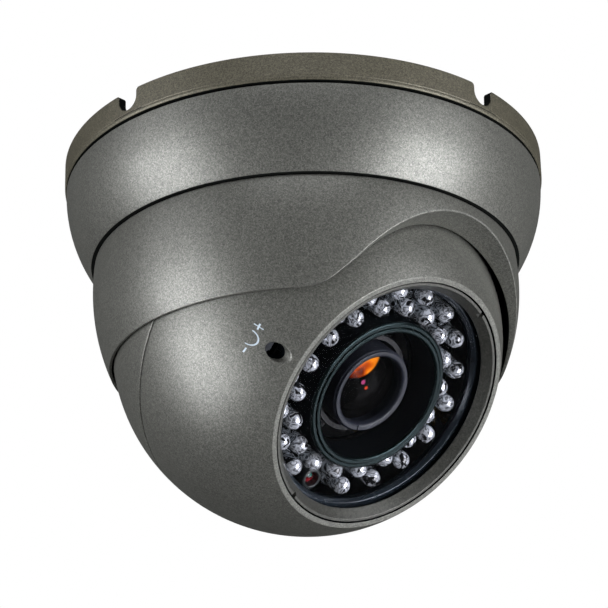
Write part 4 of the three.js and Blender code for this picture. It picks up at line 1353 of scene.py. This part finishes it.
def add_light(name, azimuth, elevation, distance, width, height, power):
    """A rectangular soft light that looks at the camera body from these angles off the view."""
    _, _, forward = view_axes(VIEW_AZIMUTH + azimuth, elevation)
    data = bpy.data.lights.new(name, "AREA")
    data.shape = "RECTANGLE"
    data.size = width
    data.size_y = height
    data.energy = power
    data.color = LIGHT_COLOUR
    light = bpy.data.objects.new(name, data)
    light.location = Vector((0, 0, VIEW_HEIGHT)) - forward * distance
    light.rotation_euler = forward.to_track_quat("-Z", "Y").to_euler()
    bpy.context.scene.collection.objects.link(light)


def build_world():
    """White to the camera. As a light it is dim above, under the ceiling, and brighter below."""
    world = bpy.data.worlds.new("studio")
    world.use_nodes = True
    tree = world.node_tree
    dome = tree.nodes["Background"]
    dome.inputs["Color"].default_value = (1, 1, 1, 1)
    direction = tree.nodes.new("ShaderNodeTexCoord")
    parts = tree.nodes.new("ShaderNodeSeparateXYZ")
    tree.links.new(direction.outputs["Generated"], parts.inputs["Vector"])
    fall = tree.nodes.new("ShaderNodeMapRange")
    for key, value in WORLD_FALL.items():
        fall.inputs[key].default_value = value
    tree.links.new(parts.outputs["Z"], fall.inputs["Value"])
    tree.links.new(fall.outputs["Result"], dome.inputs["Strength"])
    backdrop = tree.nodes.new("ShaderNodeBackground")
    backdrop.inputs["Color"].default_value = (1, 1, 1, 1)
    seen = tree.nodes.new("ShaderNodeLightPath")
    mix = tree.nodes.new("ShaderNodeMixShader")
    tree.links.new(seen.outputs["Is Camera Ray"], mix.inputs["Fac"])
    tree.links.new(dome.outputs["Background"], mix.inputs[1])
    tree.links.new(backdrop.outputs["Background"], mix.inputs[2])
    tree.links.new(mix.outputs["Shader"], tree.nodes["World Output"].inputs["Surface"])
    return world


# A light's azimuth off the view, elevation, distance, width, height and power.
LIGHTS = {
    "left_softbox": (-68, -19, 0.9, 0.52, 0.7, 8.1),
    "right_softbox": (62, -25, 0.9, 0.52, 0.7, 10.3),
    "left_top": (-68, 14, 0.9, 0.6, 0.6, 1.8),
    "right_top": (62, 8, 0.9, 0.6, 0.6, 2.2),
    "overhead": (0, 55, 1.0, 0.8, 0.8, 3.8),
    "rim_glint": (108, -35, 0.9, 0.4, 0.4, 1.0),
}
WORLD_FALL = {"From Min": -0.35, "From Max": 0.0, "To Min": 0.03, "To Max": 0.05}


def build_studio():
    scene = bpy.context.scene
    scene.view_settings.view_transform = "Standard"
    scene.world = build_world()
    floor_mesh = mesh_from("floor", *block((-6, 6), (-6, 6), (FLOOR_DEPTH - 0.02, FLOOR_DEPTH)))
    floor = bpy.data.objects.new("floor", floor_mesh)
    glow = {"emission_color": FLOOR_GLOW, "emission_strength": FLOOR_STRENGTH}
    pale = moulded("pale_floor", (0.8, 0.8, 0.8), 0.6, **glow)
    floor.data.materials.append(pale)
    floor.visible_diffuse = False
    floor.visible_glossy = False
    scene.collection.objects.link(floor)
    for name, values in LIGHTS.items():
        add_light(name, *values)


# ---------------------------------------------------------------- assembly

paint_cad_nodes()
build_base()
build_trim()
build_bowl()
build_front_shell()
build_rear_shell()
build_window()
build_shroud()
build_lamps()
build_light_sensor()
build_lens()
build_legend()
build_camera()
build_studio()
